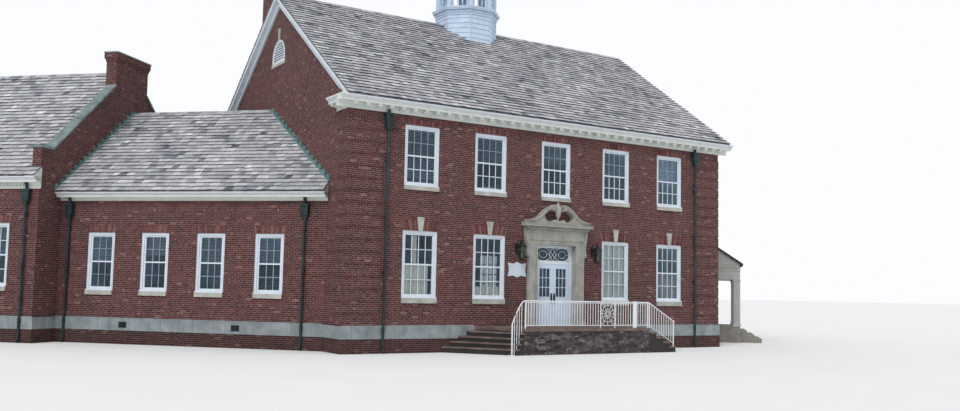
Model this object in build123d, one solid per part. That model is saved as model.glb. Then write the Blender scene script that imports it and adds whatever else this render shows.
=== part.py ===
from build123d import *
import math
import os

# Town hall: two-storey brick main block with a cupola, a one-storey wing set at
# 45 degrees on each end, and a parapet-gabled end block past the left wing.
# Millimetres, +Z up. The origin is on the ground under the front door's centre,
# in the plane of the front wall's face; +Y runs into the building.

# Walls, base and stone band
WALL = 350.0
BASE_PROUD = 50.0
BAND_BOTTOM = 475.0
FLOOR_LEVEL = 890.0
FLOOR_THICK = 200.0
JOINT_GAP = 0.5

# Roof build-up
SLATE_EDGE = 45.0
ROOF_THICK = 195.0
VERGE = 240.0

# Cornice mouldings
FRIEZE_PROUD = 40.0
CORONA_BACK = 110.0
CORONA_HIGH = 70.0
CROWN_BACK = 10.0
SEAT_GAP = 0.3

# Main block
MAIN_HALF = 8470.0
MAIN_DEPTH = 13500.0
MAIN_EAVE = 8450.0
MAIN_OVERHANG = 450.0
MAIN_SLOPE = 0.7014
MAIN_FRIEZE = 8020.0
MAIN_SOFFIT = 8200.0
UPPER_FLOOR_TOP = 4850.0
UPPER_FLOOR_THICK = 300.0
RETURN_LENGTH = 900.0
RAKE_HIGH = 330.0
RAKE_PROUD = 60.0
RAKE_CROWN_HIGH = 120.0
RAKE_CROWN_PROUD = 220.0

# Windows of the main block
WINDOW_STEP_INNER = 2900.0
WINDOW_STEP_OUTER = 5700.0
MAIN_WINDOW_WIDE = 1340.0
LOWER_FRAME_BOTTOM = 1820.0
LOWER_FRAME_TOP = 4100.0
LOWER_SILL = 160.0
UPPER_FRAME_BOTTOM = 5610.0
UPPER_FRAME_TOP = 7690.0
UPPER_SILL = 130.0
FRAME_SETBACK = 40.0
FRAME_DEEP = 90.0
CASING_WIDE = 85.0
SASH_WIDE = 60.0
SASH_SETBACK = 30.0
MEETING_RAIL = 50.0
PANE_THICK = 8.0
PANE_SETBACK = 60.0
SILL_PROUD = 60.0
KEYSTONE_HIGH = 470.0
KEYSTONE_TOP_WIDE = 280.0
KEYSTONE_FOOT_WIDE = 150.0
KEYSTONE_PROUD = 35.0

# Gable vents
VENT_WIDE = 1300.0
VENT_BOTTOM = 10760.0
VENT_HIGH = 930.0
VENT_FRAME = 70.0
VENT_DEEP = 80.0
VENT_SILL = 100.0
VENT_SILL_LUG = 60.0
VENT_KEY_HIGH = 460.0
VENT_KEY_WIDE = 200.0
VENT_KEY_FOOT = 120.0

# Main chimney
CHIMNEY_NEAR = 7300.0
CHIMNEY_FAR = 8850.0
CHIMNEY_WIDE = 820.0
CHIMNEY_TOP = 15200.0
CHIMNEY_CAP_HIGH = 220.0
CHIMNEY_CAP_PROUD = 70.0

# Cupola, sizes across flats
CUPOLA_WIDE = 2410.0
CUPOLA_CAP_WIDE = 2720.0
CUPOLA_CAP_BOTTOM = 13930.0
CUPOLA_CAP_HIGH = 250.0
LANTERN_WIDE = 2260.0
LANTERN_HIGH = 1900.0
LANTERN_POST_RADIUS = 120.0
ARCH_HEAD_HIGH = 620.0
ARCH_PLATE = 110.0
ARCH_CLEAR_SIDE = 40.0
CUPOLA_CORNICE_WIDE = 2700.0
CUPOLA_CORNICE_HIGH = 300.0
DOME_RADIUS = 1150.0
DOME_HIGH = 1250.0
FINIAL_HIGH = 900.0
FINIAL_BALL = 130.0
FINIAL_ROD = 28.0

# Entrance doorway, stone surround and pediment
DOORWAY_HALF = 900.0
DOORWAY_TOP = 3950.0
SURROUND_OPEN_HALF = 880.0
SURROUND_HALF = 1270.0
SURROUND_OPEN_TOP = 3850.0
SURROUND_TOP = 4410.0
SURROUND_PROUD = 120.0
REVEAL_DEEP = 115.0
ENTRY_CORNICE_HALF = 1540.0
ENTRY_CORNICE_PROUD = 340.0
ENTRY_CORNICE_TOP = 4600.0
PEDIMENT_TOP = 5390.0
PEDIMENT_PROUD = 240.0
PEDIMENT_GAP = 190.0
PEDIMENT_END_HIGH = 130.0
PEDIMENT_BEND_HIGH = 330.0
PEDIMENT_TIP_DROP = 60.0
PEDIMENT_SAG = 70.0
PEDIMENT_OPEN_X = 400.0
PEDIMENT_OPEN_Z = 320.0
PEDIMENT_OPEN_HALF = 290.0
PEDIMENT_OPEN_TALL = 235.0
VOLUTE_RADIUS = 85.0
URN_RADIUS = 130.0
URN_HIGH = 860.0
URN_CLEAR = 15.0
PLINTH_SHARE = 0.75
URN_PROFILE = ((0.55, 0.0), (0.28, 0.12), (0.5, 0.2), (0.95, 0.5), (0.98, 0.66), (0.45, 0.82),
               (0.3, 0.9), (0.12, 1.0))

# Doors and their frame
DOOR_FRAME_FACE = 120.0
DOOR_FRAME_DEEP = 100.0
DOOR_OPEN_HALF = 750.0
DOOR_CLEAR = 5.0
DOOR_THICK = 45.0
DOOR_HEAD = 3150.0
TRANSOM_BAR = 100.0
FRAME_HEAD = 80.0
STOP_WIDE = 20.0
DOOR_GLASS_EDGE = 130.0
DOOR_GLASS_BOTTOM = 1050.0
DOOR_GLASS_TOP_EDGE = 150.0
DOOR_PANEL_SINK = 8.0
DOOR_PANEL_BOTTOM = 200.0
DOOR_PANEL_TOP = 900.0
HINGE_RADIUS = 9.0
HINGE_HALF = 50.0
HINGE_LEAF = 55.0
HINGE_PROUD = 5.0
HINGE_HEIGHTS = (250.0, 1130.0, 2010.0)
HANDLE_RADIUS = 11.0
HANDLE_HIGH = 320.0
HANDLE_Z = 1000.0
HANDLE_STAND = 55.0
HANDLE_EDGE = 65.0

# Wall lanterns and plaque beside the entrance
LANTERN_X = 1740.0
LANTERN_BOTTOM = 3300.0
LANTERN_BODY = 420.0
LANTERN_BODY_WIDE = 240.0
LANTERN_ARM_OUT = 330.0
LANTERN_PLATE_WIDE = 110.0
LANTERN_FOOT_HALF = 75.0
LANTERN_CAP_HALF = 37.0
PLAQUE_X = -1700.0
PLAQUE_Z = 2900.0
PLAQUE_WIDE = 760.0
PLAQUE_HIGH = 460.0
PLAQUE_THICK = 25.0

# Platform, steps and railing
PLATFORM_FRONT = 2100.0
PLATFORM_HALF = 2780.0
PLATFORM_BACK_LEFT = 3480.0
SLAB_THICK = 100.0
SLAB_LIP = 30.0
RISERS = 5
TREAD = 320.0
FAN_STEP = 70.0
RAIL_HIGH = 940.0
RAIL_BAR = 32.0
RAIL_POST = 45.0
RAIL_INSET = 60.0
BALUSTER = 16.0
BALUSTER_STEP = 130.0
RAIL_FOOT = 90.0

# Wings: plan turned 45 degrees, starting on the main block's end walls
WING_START = 1445.0
WING_TURN = 45.0
WING_LENGTH = 10240.0
WING_DEPTH = 8500.0
WING_EAVE = 5370.0
WING_OVERHANG = 400.0
WING_SLOPE = 0.7813
WING_FRIEZE = 5050.0
WING_SOFFIT = 5150.0
WING_WINDOWS = (2080.0, 4270.0, 6410.0, 8530.0)
WING_WINDOW_WIDE = 1060.0
WING_FRAME_BOTTOM = 1850.0
WING_FRAME_TOP = 3910.0
WING_SILL = 140.0

# End block past the left wing
END_FORWARD = 1220.0
END_LENGTH = 7560.0
END_DEPTH = 10370.0
END_EAVE = 5800.0
END_OVERHANG = 400.0
END_SLOPE = 0.866
END_FRIEZE = 5360.0
END_SOFFIT = 5560.0
END_WINDOWS = (1650.0, 3780.0, 5910.0)
END_FRAME_BOTTOM = 1910.0
END_FRAME_TOP = 4150.0
PARAPET_TOP = 6900.0
KNEELER = 600.0
COPING_THICK = 90.0
COPING_LIP = 40.0
END_CHIMNEY_NEAR = 4090.0
END_CHIMNEY_FAR = 6300.0
END_CHIMNEY_WIDE = 450.0
END_CHIMNEY_TOP = 11200.0
END_CORNICE_REACH = 60.0

# Side porch and door on the right wing
PORCH_NEAR = 3000.0
PORCH_FAR = 6600.0
PORCH_OUT = 2090.0
PORCH_PIER = 280.0
PORCH_FLOOR = 712.0
PORCH_BEAM_BOTTOM = 2840.0
PORCH_BEAM_TOP = 3480.0
PORCH_ROOF_THICK = 90.0
PORCH_EAVE_OUT = 120.0
PORCH_TREADS = 3
SIDE_DOOR_WIDE = 1000.0
SIDE_DOOR_TOP = 3200.0
SIDE_DOOR_FRAME = 80.0
SIDE_DOOR_THICK = 50.0

# Rainwater pipes
PIPE_RADIUS = 45.0
PIPE_OUT = 100.0
PIPE_FOOT = 120.0
HEAD_WIDE = 260.0
HEAD_DEEP = 190.0
HEAD_HIGH = 350.0
HEAD_DROP = 600.0
MAIN_PIPE_X = 7050.0
WING_PIPE_NEAR = 790.0
WING_PIPE_EDGE = 420.0
BRACKET_SHARES = (0.15, 0.5, 0.85)
END_PIPE = 440.0

nodes = {}


def add(name, shapes):
    bodies = nodes.setdefault(name, [])
    for shape in shapes:
        bodies.extend(shape.solids())


# Box between two corners
def block(x0, x1, y0, y1, z0, z1):
    centre = Pos((x0 + x1) / 2, (y0 + y1) / 2, (z0 + z1) / 2)
    return centre * Box(abs(x1 - x0), abs(y1 - y0), abs(z1 - z0))


# Upright cylinder on a point
def post(x, y, z0, z1, radius):
    return Pos(x, y, (z0 + z1) / 2) * Cylinder(radius, z1 - z0)


# Prism along X from (y, z) points
def prism_x(points, x0, x1):
    wire = Wire.make_polygon([Vector(x0, y, z) for y, z in points], close=True)
    return Part(Solid.extrude(Face(wire), Vector(x1 - x0, 0, 0)).wrapped)


# Prism along Y from (x, z) points
def prism_y(points, y0, y1):
    wire = Wire.make_polygon([Vector(x, y0, z) for x, z in points], close=True)
    return Part(Solid.extrude(Face(wire), Vector(0, y1 - y0, 0)).wrapped)


# Prism along Z from (x, y) points
def prism_z(points, z0, z1):
    wire = Wire.make_polygon([Vector(x, y, z0) for x, y in points], close=True)
    return Part(Solid.extrude(Face(wire), Vector(0, 0, z1 - z0)).wrapped)


# Octagonal prism, flats facing the axes
def octagon(flats, z0, z1, centre_y):
    radius = flats / 2 / math.cos(math.pi / 8)
    corners = [math.pi / 8 + k * math.pi / 4 for k in range(8)]
    points = [(radius * math.cos(a), centre_y + radius * math.sin(a)) for a in corners]
    return prism_z(points, z0, z1)


# One gable-roofed volume, in its own frame: x along the ridge, y inward from the front
class Volume:
    def __init__(self, x0, x1, depth, eave, overhang, slope, frieze, soffit, place):
        self.x0 = x0
        self.x1 = x1
        self.depth = depth
        self.eave = eave
        self.overhang = overhang
        self.slope = slope
        self.frieze = frieze
        self.soffit = soffit
        self.place = place

    # Height of the slates over depth y
    def top(self, y):
        return self.eave + (min(y, self.depth - y) + self.overhang) * self.slope

    # Height of the roof's underside over depth y
    def under(self, y):
        return self.top(y) - ROOF_THICK

    # Placement of the front (0) or back (1) face, local y pointing inward
    def face(self, back):
        if back:
            turn = Pos(self.x0 + self.x1, self.depth, 0) * Rot(0, 0, 180)
            return self.place * turn
        return self.place


left_turn = Pos(-MAIN_HALF, WING_START, 0) * Rot(0, 0, -WING_TURN)
right_turn = Pos(MAIN_HALF, WING_START, 0) * Rot(0, 0, WING_TURN)
end_place = left_turn * Pos(0, -END_FORWARD, 0)

main = Volume(-MAIN_HALF, MAIN_HALF, MAIN_DEPTH, MAIN_EAVE, MAIN_OVERHANG, MAIN_SLOPE,
              MAIN_FRIEZE, MAIN_SOFFIT, Pos(0, 0, 0))
left_wing = Volume(-WING_LENGTH, 0, WING_DEPTH, WING_EAVE, WING_OVERHANG, WING_SLOPE,
                   WING_FRIEZE, WING_SOFFIT, left_turn)
right_wing = Volume(0, WING_LENGTH, WING_DEPTH, WING_EAVE, WING_OVERHANG, WING_SLOPE,
                    WING_FRIEZE, WING_SOFFIT, right_turn)
end_block = Volume(-WING_LENGTH - END_LENGTH, -WING_LENGTH, END_DEPTH, END_EAVE,
                   END_OVERHANG, END_SLOPE, END_FRIEZE, END_SOFFIT, end_place)
WINGS = (left_wing, right_wing)


# Space that the main block takes up, for cutting what runs into its end walls
def main_envelope(proud):
    far = 3 * MAIN_DEPTH
    half = MAIN_HALF + proud
    return block(-half, half, -far, far, -BASE_PROUD, 3 * MAIN_EAVE)


def cut_by_main(shape, proud=0.0):
    return shape - main_envelope(proud)


# Wall with a top that follows the roof's underside
def eave_wall(volume, x0, x1, bottom):
    profile = [(0, bottom), (0, volume.under(0)), (WALL, volume.under(WALL)), (WALL, bottom)]
    return prism_x(profile, x0, x1)


# Gable wall between the front and back walls, or in full depth
def gable_wall(volume, x0, x1, bottom):
    near = WALL + JOINT_GAP
    far = volume.depth - WALL - JOINT_GAP
    mid = volume.depth / 2
    profile = [(near, bottom), (near, volume.under(near)), (mid, volume.under(mid)),
               (far, volume.under(far)), (far, bottom)]
    return prism_x(profile, x0, x1)


# Both slopes of a gable roof, each a slate skin over a deck
def roof_slopes(volume, verge0, verge1):
    mid = volume.depth / 2 - JOINT_GAP
    eave = -volume.overhang
    slopes = []
    for back in (False, True):
        skin = [(eave, -SLATE_EDGE), (eave, 0), (mid, 0), (mid, -SLATE_EDGE)]
        deck = [(0, -ROOF_THICK), (0, -SLATE_EDGE), (mid, -SLATE_EDGE), (mid, -ROOF_THICK)]
        pieces = []
        for outline, out0, out1 in ((skin, verge0, verge1), (deck, 0, 0)):
            points = [(y, volume.top(y) + drop) for y, drop in outline]
            if back:
                points = [(volume.depth - y, z) for y, z in points]
            pieces.append(prism_x(points, volume.x0 - out0, volume.x1 + out1))
        slopes.append(pieces[0] + pieces[1])
    return slopes


# Eave cornice: frieze, soffit, corona and crown under the slates' edge
def cornice_run(volume, x0, x1):
    face = volume.overhang - CORONA_BACK
    lip = volume.overhang - CROWN_BACK
    corona = volume.soffit + CORONA_HIGH
    crown_top = volume.top(-lip) - SLATE_EDGE - SEAT_GAP
    back_top = volume.top(0) - SLATE_EDGE - SEAT_GAP
    profile = [(0, volume.frieze), (-FRIEZE_PROUD, volume.frieze),
               (-FRIEZE_PROUD, volume.soffit), (-face, volume.soffit), (-face, corona),
               (-lip, crown_top - FRIEZE_PROUD), (-lip, crown_top), (0, back_top)]
    return prism_x(profile, x0, x1)


# Base or band strips round a plan of x0..x1 by 0..depth
def ring_strips(volume, z0, z1, ends):
    low = volume.x0 - BASE_PROUD * ends[0]
    high = volume.x1 + BASE_PROUD * ends[1]
    strips = [block(low, high, -BASE_PROUD, WALL, z0, z1),
              block(low, high, volume.depth - WALL, volume.depth + BASE_PROUD, z0, z1)]
    near = WALL + JOINT_GAP
    far = volume.depth - WALL - JOINT_GAP
    if ends[0]:
        strips.append(block(low, volume.x0 + WALL, near, far, z0, z1))
    if ends[1]:
        strips.append(block(volume.x1 - WALL, high, near, far, z0, z1))
    return strips


# Space over and beside a plan, used to cut the neighbours' strips
def plan_envelope(volume, proud):
    return block(volume.x0 - proud, volume.x1 + proud, -proud, volume.depth + proud,
                 -BASE_PROUD, 3 * MAIN_EAVE)


def base_and_band():
    for name, z0, z1 in (("brick_base", 0, BAND_BOTTOM),
                         ("water_table", BAND_BOTTOM, FLOOR_LEVEL)):
        add(name, ring_strips(main, z0, z1, (1, 1)))
        add(name, [end_block.place * s for s in ring_strips(end_block, z0, z1, (1, 1))])
        end_space = end_block.place * plan_envelope(end_block, BASE_PROUD + JOINT_GAP)
        for strip in ring_strips(left_wing, z0, z1, (0, 0)):
            placed = cut_by_main(left_wing.place * strip, BASE_PROUD + JOINT_GAP)
            add(name, [placed - end_space])
        for strip in ring_strips(right_wing, z0, z1, (0, 1)):
            add(name, [cut_by_main(right_wing.place * strip, BASE_PROUD + JOINT_GAP)])


# One sash window, in the frame of a wall face with local y inward
class Window:
    def __init__(self, x, wide, bottom, top, sill):
        self.x = x
        self.wide = wide
        self.bottom = bottom
        self.top = top
        self.sill = sill

    def hole(self):
        half = self.wide / 2
        return block(self.x - half, self.x + half, -BASE_PROUD, 2 * WALL,
                     self.bottom - self.sill, self.top)

    def frame(self):
        half = self.wide / 2
        inner = half - CASING_WIDE
        light = inner - SASH_WIDE
        front = FRAME_SETBACK
        back = FRAME_SETBACK + FRAME_DEEP
        sash = FRAME_SETBACK + SASH_SETBACK
        low = self.bottom + CASING_WIDE
        high = self.top - CASING_WIDE
        middle = (low + high) / 2
        body = block(self.x - half, self.x + half, front, back, self.bottom, self.top)
        body -= block(self.x - inner, self.x + inner, front, sash, low, high)
        for z0, z1 in ((low + SASH_WIDE, middle - MEETING_RAIL / 2),
                       (middle + MEETING_RAIL / 2, high - SASH_WIDE)):
            body -= block(self.x - light, self.x + light, front, back, z0, z1)
        return body

    def panes(self):
        light = self.wide / 2 - CASING_WIDE - SASH_WIDE
        low = self.bottom + CASING_WIDE
        high = self.top - CASING_WIDE
        middle = (low + high) / 2
        y0 = FRAME_SETBACK + PANE_SETBACK
        spans = ((low + SASH_WIDE, middle - MEETING_RAIL / 2),
                 (middle + MEETING_RAIL / 2, high - SASH_WIDE))
        return [block(self.x - light, self.x + light, y0, y0 + PANE_THICK, z0, z1)
                for z0, z1 in spans]

    def sill_stone(self):
        half = self.wide / 2
        return block(self.x - half, self.x + half, -SILL_PROUD,
                     FRAME_SETBACK + FRAME_DEEP, self.bottom - self.sill, self.bottom)

    def keystone(self):
        foot = KEYSTONE_FOOT_WIDE / 2
        head = KEYSTONE_TOP_WIDE / 2
        z1 = self.top + KEYSTONE_HIGH
        outline = [(self.x - foot, self.top), (self.x + foot, self.top),
                   (self.x + head, z1), (self.x - head, z1)]
        return prism_y(outline, -KEYSTONE_PROUD, 0)


def lower_window(x):
    return Window(x, MAIN_WINDOW_WIDE, LOWER_FRAME_BOTTOM, LOWER_FRAME_TOP, LOWER_SILL)


def upper_window(x):
    return Window(x, MAIN_WINDOW_WIDE, UPPER_FRAME_BOTTOM, UPPER_FRAME_TOP, UPPER_SILL)


def wing_window(x):
    return Window(x, WING_WINDOW_WIDE, WING_FRAME_BOTTOM, WING_FRAME_TOP, WING_SILL)


def end_window(x):
    return Window(x, WING_WINDOW_WIDE, END_FRAME_BOTTOM, END_FRAME_TOP, WING_SILL)


# Put a face's windows in place
def fit_windows(place, windows, frame_node):
    for window in windows:
        add(frame_node, [place * window.frame()])
        add("window_glass", [place * pane for pane in window.panes()])
        add("window_sills", [place * window.sill_stone()])


def pierce(wall, windows):
    for window in windows:
        wall -= window.hole()
    return wall


SIDE_XS = (WINDOW_STEP_INNER, WINDOW_STEP_OUTER)
front_xs = [-x for x in SIDE_XS] + list(SIDE_XS)
front_lower = [lower_window(x) for x in front_xs]
front_upper = [upper_window(x) for x in front_xs + [0.0]]
back_lower = [lower_window(x) for x in front_xs + [0.0]]


# Main block's walls, floors and windows
def main_walls():
    wall = pierce(eave_wall(main, -MAIN_HALF, MAIN_HALF, FLOOR_LEVEL), front_lower + front_upper)
    far = 2 * MAIN_HALF
    high = 2 * MAIN_EAVE
    middle = block(-DOORWAY_HALF, DOORWAY_HALF, -WALL, 2 * WALL, 0, high)
    left = block(-far, -DOORWAY_HALF, -WALL, 2 * WALL, 0, high)
    right = block(DOORWAY_HALF, far, -WALL, 2 * WALL, 0, high)
    doorway = block(-far, far, -WALL, 2 * WALL, 0, DOORWAY_TOP)
    add("front_wall_left", [wall & left])
    add("front_wall_right", [wall & right])
    add("front_wall_over_door", [(wall & middle) - doorway])
    back = pierce(eave_wall(main, -MAIN_HALF, MAIN_HALF, FLOOR_LEVEL), back_lower + front_upper)
    add("back_wall", [main.face(True) * back])
    for x0, x1 in ((-MAIN_HALF, -MAIN_HALF + WALL), (MAIN_HALF - WALL, MAIN_HALF)):
        add("gable_walls", [gable_wall(main, x0, x1, FLOOR_LEVEL) - vent_hole(x0, x1)])
    for back_side, windows in ((False, front_lower), (True, back_lower)):
        fit_windows(main.face(back_side), windows, "lower_window_frames")
        fit_windows(main.face(back_side), front_upper, "upper_window_frames")
        add("keystones", [main.face(back_side) * w.keystone() for w in windows])
    inside = MAIN_HALF - WALL
    far_y = MAIN_DEPTH - WALL
    add("upper_floor", [block(-inside, inside, WALL, far_y,
                              UPPER_FLOOR_TOP - UPPER_FLOOR_THICK, UPPER_FLOOR_TOP)])


# Round-headed outline in (y, z), its foot at z = bottom
def round_head(x0, x1, half, bottom, high, centre):
    spring = bottom + high - half
    body = block(x0, x1, centre - half, centre + half, bottom, spring)
    drum = Pos((x0 + x1) / 2, centre, spring) * Rot(0, 90, 0) * Cylinder(half, abs(x1 - x0))
    drum -= block(x0, x1, centre - half, centre + half, spring - half, spring)
    return body + drum


def vent_hole(x0, x1):
    return round_head(x0 - VERGE, x1 + VERGE, VENT_WIDE / 2, VENT_BOTTOM, VENT_HIGH,
                      MAIN_DEPTH / 2)


# Round-headed louvred vents with sill and keystone, one in each gable
def gable_vents():
    centre = MAIN_DEPTH / 2
    half = VENT_WIDE / 2
    for side in (-1, 1):
        face = side * MAIN_HALF
        back = side * (MAIN_HALF - VENT_DEEP)
        frame = round_head(face, back, half, VENT_BOTTOM, VENT_HIGH, centre)
        inner = half - VENT_FRAME
        recess = round_head(face, side * (MAIN_HALF - VENT_DEEP / 2), inner,
                            VENT_BOTTOM + VENT_FRAME, VENT_HIGH - 2 * VENT_FRAME, centre)
        add("gable_vents", [frame - recess])
        proud = side * (MAIN_HALF + KEYSTONE_PROUD)
        lug = half + VENT_SILL_LUG
        add("window_sills", [block(face, proud, centre - lug, centre + lug,
                                   VENT_BOTTOM - VENT_SILL, VENT_BOTTOM)])
        foot = VENT_BOTTOM + VENT_HIGH
        wide = VENT_KEY_WIDE / 2
        narrow = VENT_KEY_FOOT / 2
        key = [(centre - narrow, foot), (centre + narrow, foot),
               (centre + wide, foot + VENT_KEY_HIGH), (centre - wide, foot + VENT_KEY_HIGH)]
        add("keystones", [prism_x(key, face, proud)])


def floors():
    z0 = FLOOR_LEVEL - FLOOR_THICK
    for volume in (main, end_block, left_wing, right_wing):
        x0 = volume.x0 + WALL
        x1 = volume.x1 - WALL
        if volume is left_wing:
            x0 = volume.x0 - BASE_PROUD
            x1 = volume.x1
        if volume is right_wing:
            x0 = volume.x0
        slab = volume.place * block(x0, x1, WALL, volume.depth - WALL, z0, FLOOR_LEVEL)
        if volume in WINGS:
            slab = cut_by_main(slab, BASE_PROUD)
        if volume is left_wing:
            slab -= end_block.place * plan_envelope(end_block, BASE_PROUD)
        add("ground_floors", [slab])


# Main roof, its eave cornices with returns, and the raking cornices
def main_roof():
    add("main_roof", roof_slopes(main, VERGE, VERGE))
    lip = MAIN_OVERHANG - CROWN_BACK
    face = MAIN_OVERHANG - CORONA_BACK
    return_top = main.top(-lip) - SLATE_EDGE - SEAT_GAP
    corona = MAIN_SOFFIT + CORONA_HIGH
    mid = MAIN_DEPTH / 2
    for back in (False, True):
        place = main.face(back)
        eaves = cornice_run(main, -MAIN_HALF - lip, MAIN_HALF + lip)
        for side in (-1, 1):
            eaves -= block(side * (MAIN_HALF + VERGE), side * (MAIN_HALF + MAIN_OVERHANG),
                           -MAIN_OVERHANG, 0, return_top, main.top(0))
        add("main_cornice", [place * eaves])
        for side in (-1, 1):
            outline = [(0, MAIN_FRIEZE), (FRIEZE_PROUD, MAIN_FRIEZE),
                       (FRIEZE_PROUD, MAIN_SOFFIT), (face, MAIN_SOFFIT), (face, corona),
                       (lip, return_top - FRIEZE_PROUD), (lip, return_top), (0, return_top)]
            points = [(side * (MAIN_HALF + x), z) for x, z in outline]
            add("main_cornice", [place * prism_y(points, JOINT_GAP, RETURN_LENGTH)])
            foot = return_top + SEAT_GAP
            rake = None
            for proud, drop in ((RAKE_PROUD, RAKE_HIGH), (RAKE_CROWN_PROUD, RAKE_CROWN_HIGH)):
                low = SLATE_EDGE + SEAT_GAP + drop / math.cos(math.atan(MAIN_SLOPE))
                high = SLATE_EDGE + SEAT_GAP
                end = mid - JOINT_GAP
                points = [(0, main.top(0) - low), (0, main.top(0) - high),
                          (end, main.top(end) - high), (end, main.top(end) - low)]
                strip = prism_x(points, side * MAIN_HALF, side * (MAIN_HALF + proud))
                rake = strip if rake is None else rake + strip
            rake -= block(-2 * MAIN_HALF, 2 * MAIN_HALF, -WALL, mid, 0, foot)
            add("raking_cornices", [place * rake])


# Everything under a roof's slates, for seating what stands on the roof
def roof_body(volume):
    mid = volume.depth / 2
    outline = [(-volume.overhang, 0), (-volume.overhang, volume.top(-volume.overhang)),
               (mid, volume.top(mid)), (volume.depth + volume.overhang,
                                        volume.top(-volume.overhang)),
               (volume.depth + volume.overhang, 0)]
    return prism_x(outline, volume.x0 - VERGE, volume.x1 + VERGE)


def capped_stack(x0, x1, y0, y1, z0, z1):
    cap = z1 - CHIMNEY_CAP_HIGH
    out = CHIMNEY_CAP_PROUD
    return block(x0, x1, y0, y1, z0, z1) + block(x0 - out, x1 + out, y0 - out, y1 + out, cap, z1)


def main_chimney():
    stack = capped_stack(-MAIN_HALF, -MAIN_HALF + CHIMNEY_WIDE, CHIMNEY_NEAR, CHIMNEY_FAR,
                         MAIN_EAVE, CHIMNEY_TOP)
    add("chimneys", [stack - roof_body(main)])


# Octagonal cupola on the ridge
def cupola():
    mid = MAIN_DEPTH / 2
    cap_top = CUPOLA_CAP_BOTTOM + CUPOLA_CAP_HIGH
    base = octagon(CUPOLA_WIDE, MAIN_EAVE, CUPOLA_CAP_BOTTOM, mid) - roof_body(main)
    add("cupola_base", [base])
    step = CUPOLA_CAP_HIGH / 2
    small = (CUPOLA_WIDE + CUPOLA_CAP_WIDE) / 2
    cap = octagon(small, CUPOLA_CAP_BOTTOM, CUPOLA_CAP_BOTTOM + step, mid)
    cap += octagon(CUPOLA_CAP_WIDE, CUPOLA_CAP_BOTTOM + step, cap_top, mid)
    add("cupola_cap", [cap])
    lantern_top = cap_top + LANTERN_HIGH
    radius = LANTERN_WIDE / 2 / math.cos(math.pi / 8)
    side = LANTERN_WIDE * math.tan(math.pi / 8)
    for k in range(8):
        corner = math.pi / 8 + k * math.pi / 4
        x = radius * math.cos(corner)
        y = mid + radius * math.sin(corner)
        add("cupola_lantern", [post(x, y, cap_top, lantern_top, LANTERN_POST_RADIUS)])
        half = side / 2 - LANTERN_POST_RADIUS - JOINT_GAP
        spring = lantern_top - ARCH_HEAD_HIGH
        head = block(-half, half, -ARCH_PLATE / 2, ARCH_PLATE / 2, spring, lantern_top)
        clear = half - ARCH_CLEAR_SIDE
        bore = Pos(0, 0, spring) * Rot(90, 0, 0) * Cylinder(clear, 2 * ARCH_PLATE)
        turn = Pos(0, mid, 0) * Rot(0, 0, k * 45) * Pos(0, -LANTERN_WIDE / 2, 0)
        add("cupola_lantern", [turn * (head - bore)])
    cornice_top = lantern_top + CUPOLA_CORNICE_HIGH
    middle = lantern_top + CUPOLA_CORNICE_HIGH / 2
    cornice = octagon((CUPOLA_CORNICE_WIDE + LANTERN_WIDE) / 2 + LANTERN_POST_RADIUS,
                      lantern_top, middle, mid)
    cornice += octagon(CUPOLA_CORNICE_WIDE, middle, cornice_top, mid)
    add("cupola_cornice", [cornice])
    dome = Pos(0, mid, cornice_top) * scale(Sphere(DOME_RADIUS), (1, 1, DOME_HIGH / DOME_RADIUS))
    below = block(-2 * DOME_RADIUS, 2 * DOME_RADIUS, mid - 2 * DOME_RADIUS,
                  mid + 2 * DOME_RADIUS, 0, cornice_top)
    above = block(-DOME_RADIUS, DOME_RADIUS, mid - DOME_RADIUS, mid + DOME_RADIUS,
                  cornice_top + DOME_HIGH - FINIAL_ROD, cornice_top + 2 * DOME_HIGH)
    add("cupola_dome", [dome - below - above])
    foot = cornice_top + DOME_HIGH - FINIAL_ROD
    rod = post(0, mid, foot, foot + FINIAL_HIGH, FINIAL_ROD)
    rod += Pos(0, mid, foot + FINIAL_BALL) * Sphere(FINIAL_BALL)
    rod -= block(-FINIAL_BALL, FINIAL_BALL, mid - FINIAL_BALL, mid + FINIAL_BALL,
                 foot - FINIAL_BALL, foot)
    add("cupola_finial", [rod])


# Stone doorway: jambs, frieze, cornice and swan-neck pediment with an urn
def entrance_stone():
    for side in (-1, 1):
        jamb = block(side * SURROUND_OPEN_HALF, side * SURROUND_HALF, -SURROUND_PROUD, 0,
                     FLOOR_LEVEL, SURROUND_OPEN_TOP)
        jamb += block(side * SURROUND_OPEN_HALF, side * DOORWAY_HALF, -SURROUND_PROUD,
                      REVEAL_DEEP, FLOOR_LEVEL, SURROUND_OPEN_TOP)
        add("entrance_jambs", [jamb])
    head = block(-SURROUND_HALF, SURROUND_HALF, -SURROUND_PROUD, 0, SURROUND_OPEN_TOP,
                 SURROUND_TOP)
    head += block(-DOORWAY_HALF, DOORWAY_HALF, -SURROUND_PROUD, REVEAL_DEEP,
                  SURROUND_OPEN_TOP, DOORWAY_TOP)
    add("entrance_frieze", [head])
    middle = (SURROUND_TOP + ENTRY_CORNICE_TOP) / 2
    side_out = ENTRY_CORNICE_PROUD - SURROUND_PROUD
    shelf = block(-ENTRY_CORNICE_HALF + side_out / 2, ENTRY_CORNICE_HALF - side_out / 2,
                  -ENTRY_CORNICE_PROUD + side_out / 2, 0, SURROUND_TOP, middle)
    shelf += block(-ENTRY_CORNICE_HALF, ENTRY_CORNICE_HALF, -ENTRY_CORNICE_PROUD, 0, middle,
                   ENTRY_CORNICE_TOP)
    add("entrance_cornice", [shelf])
    for side in (-1, 1):
        add("entrance_pediment", [scroll(side)])
    add("entrance_urn", [urn()])


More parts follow.
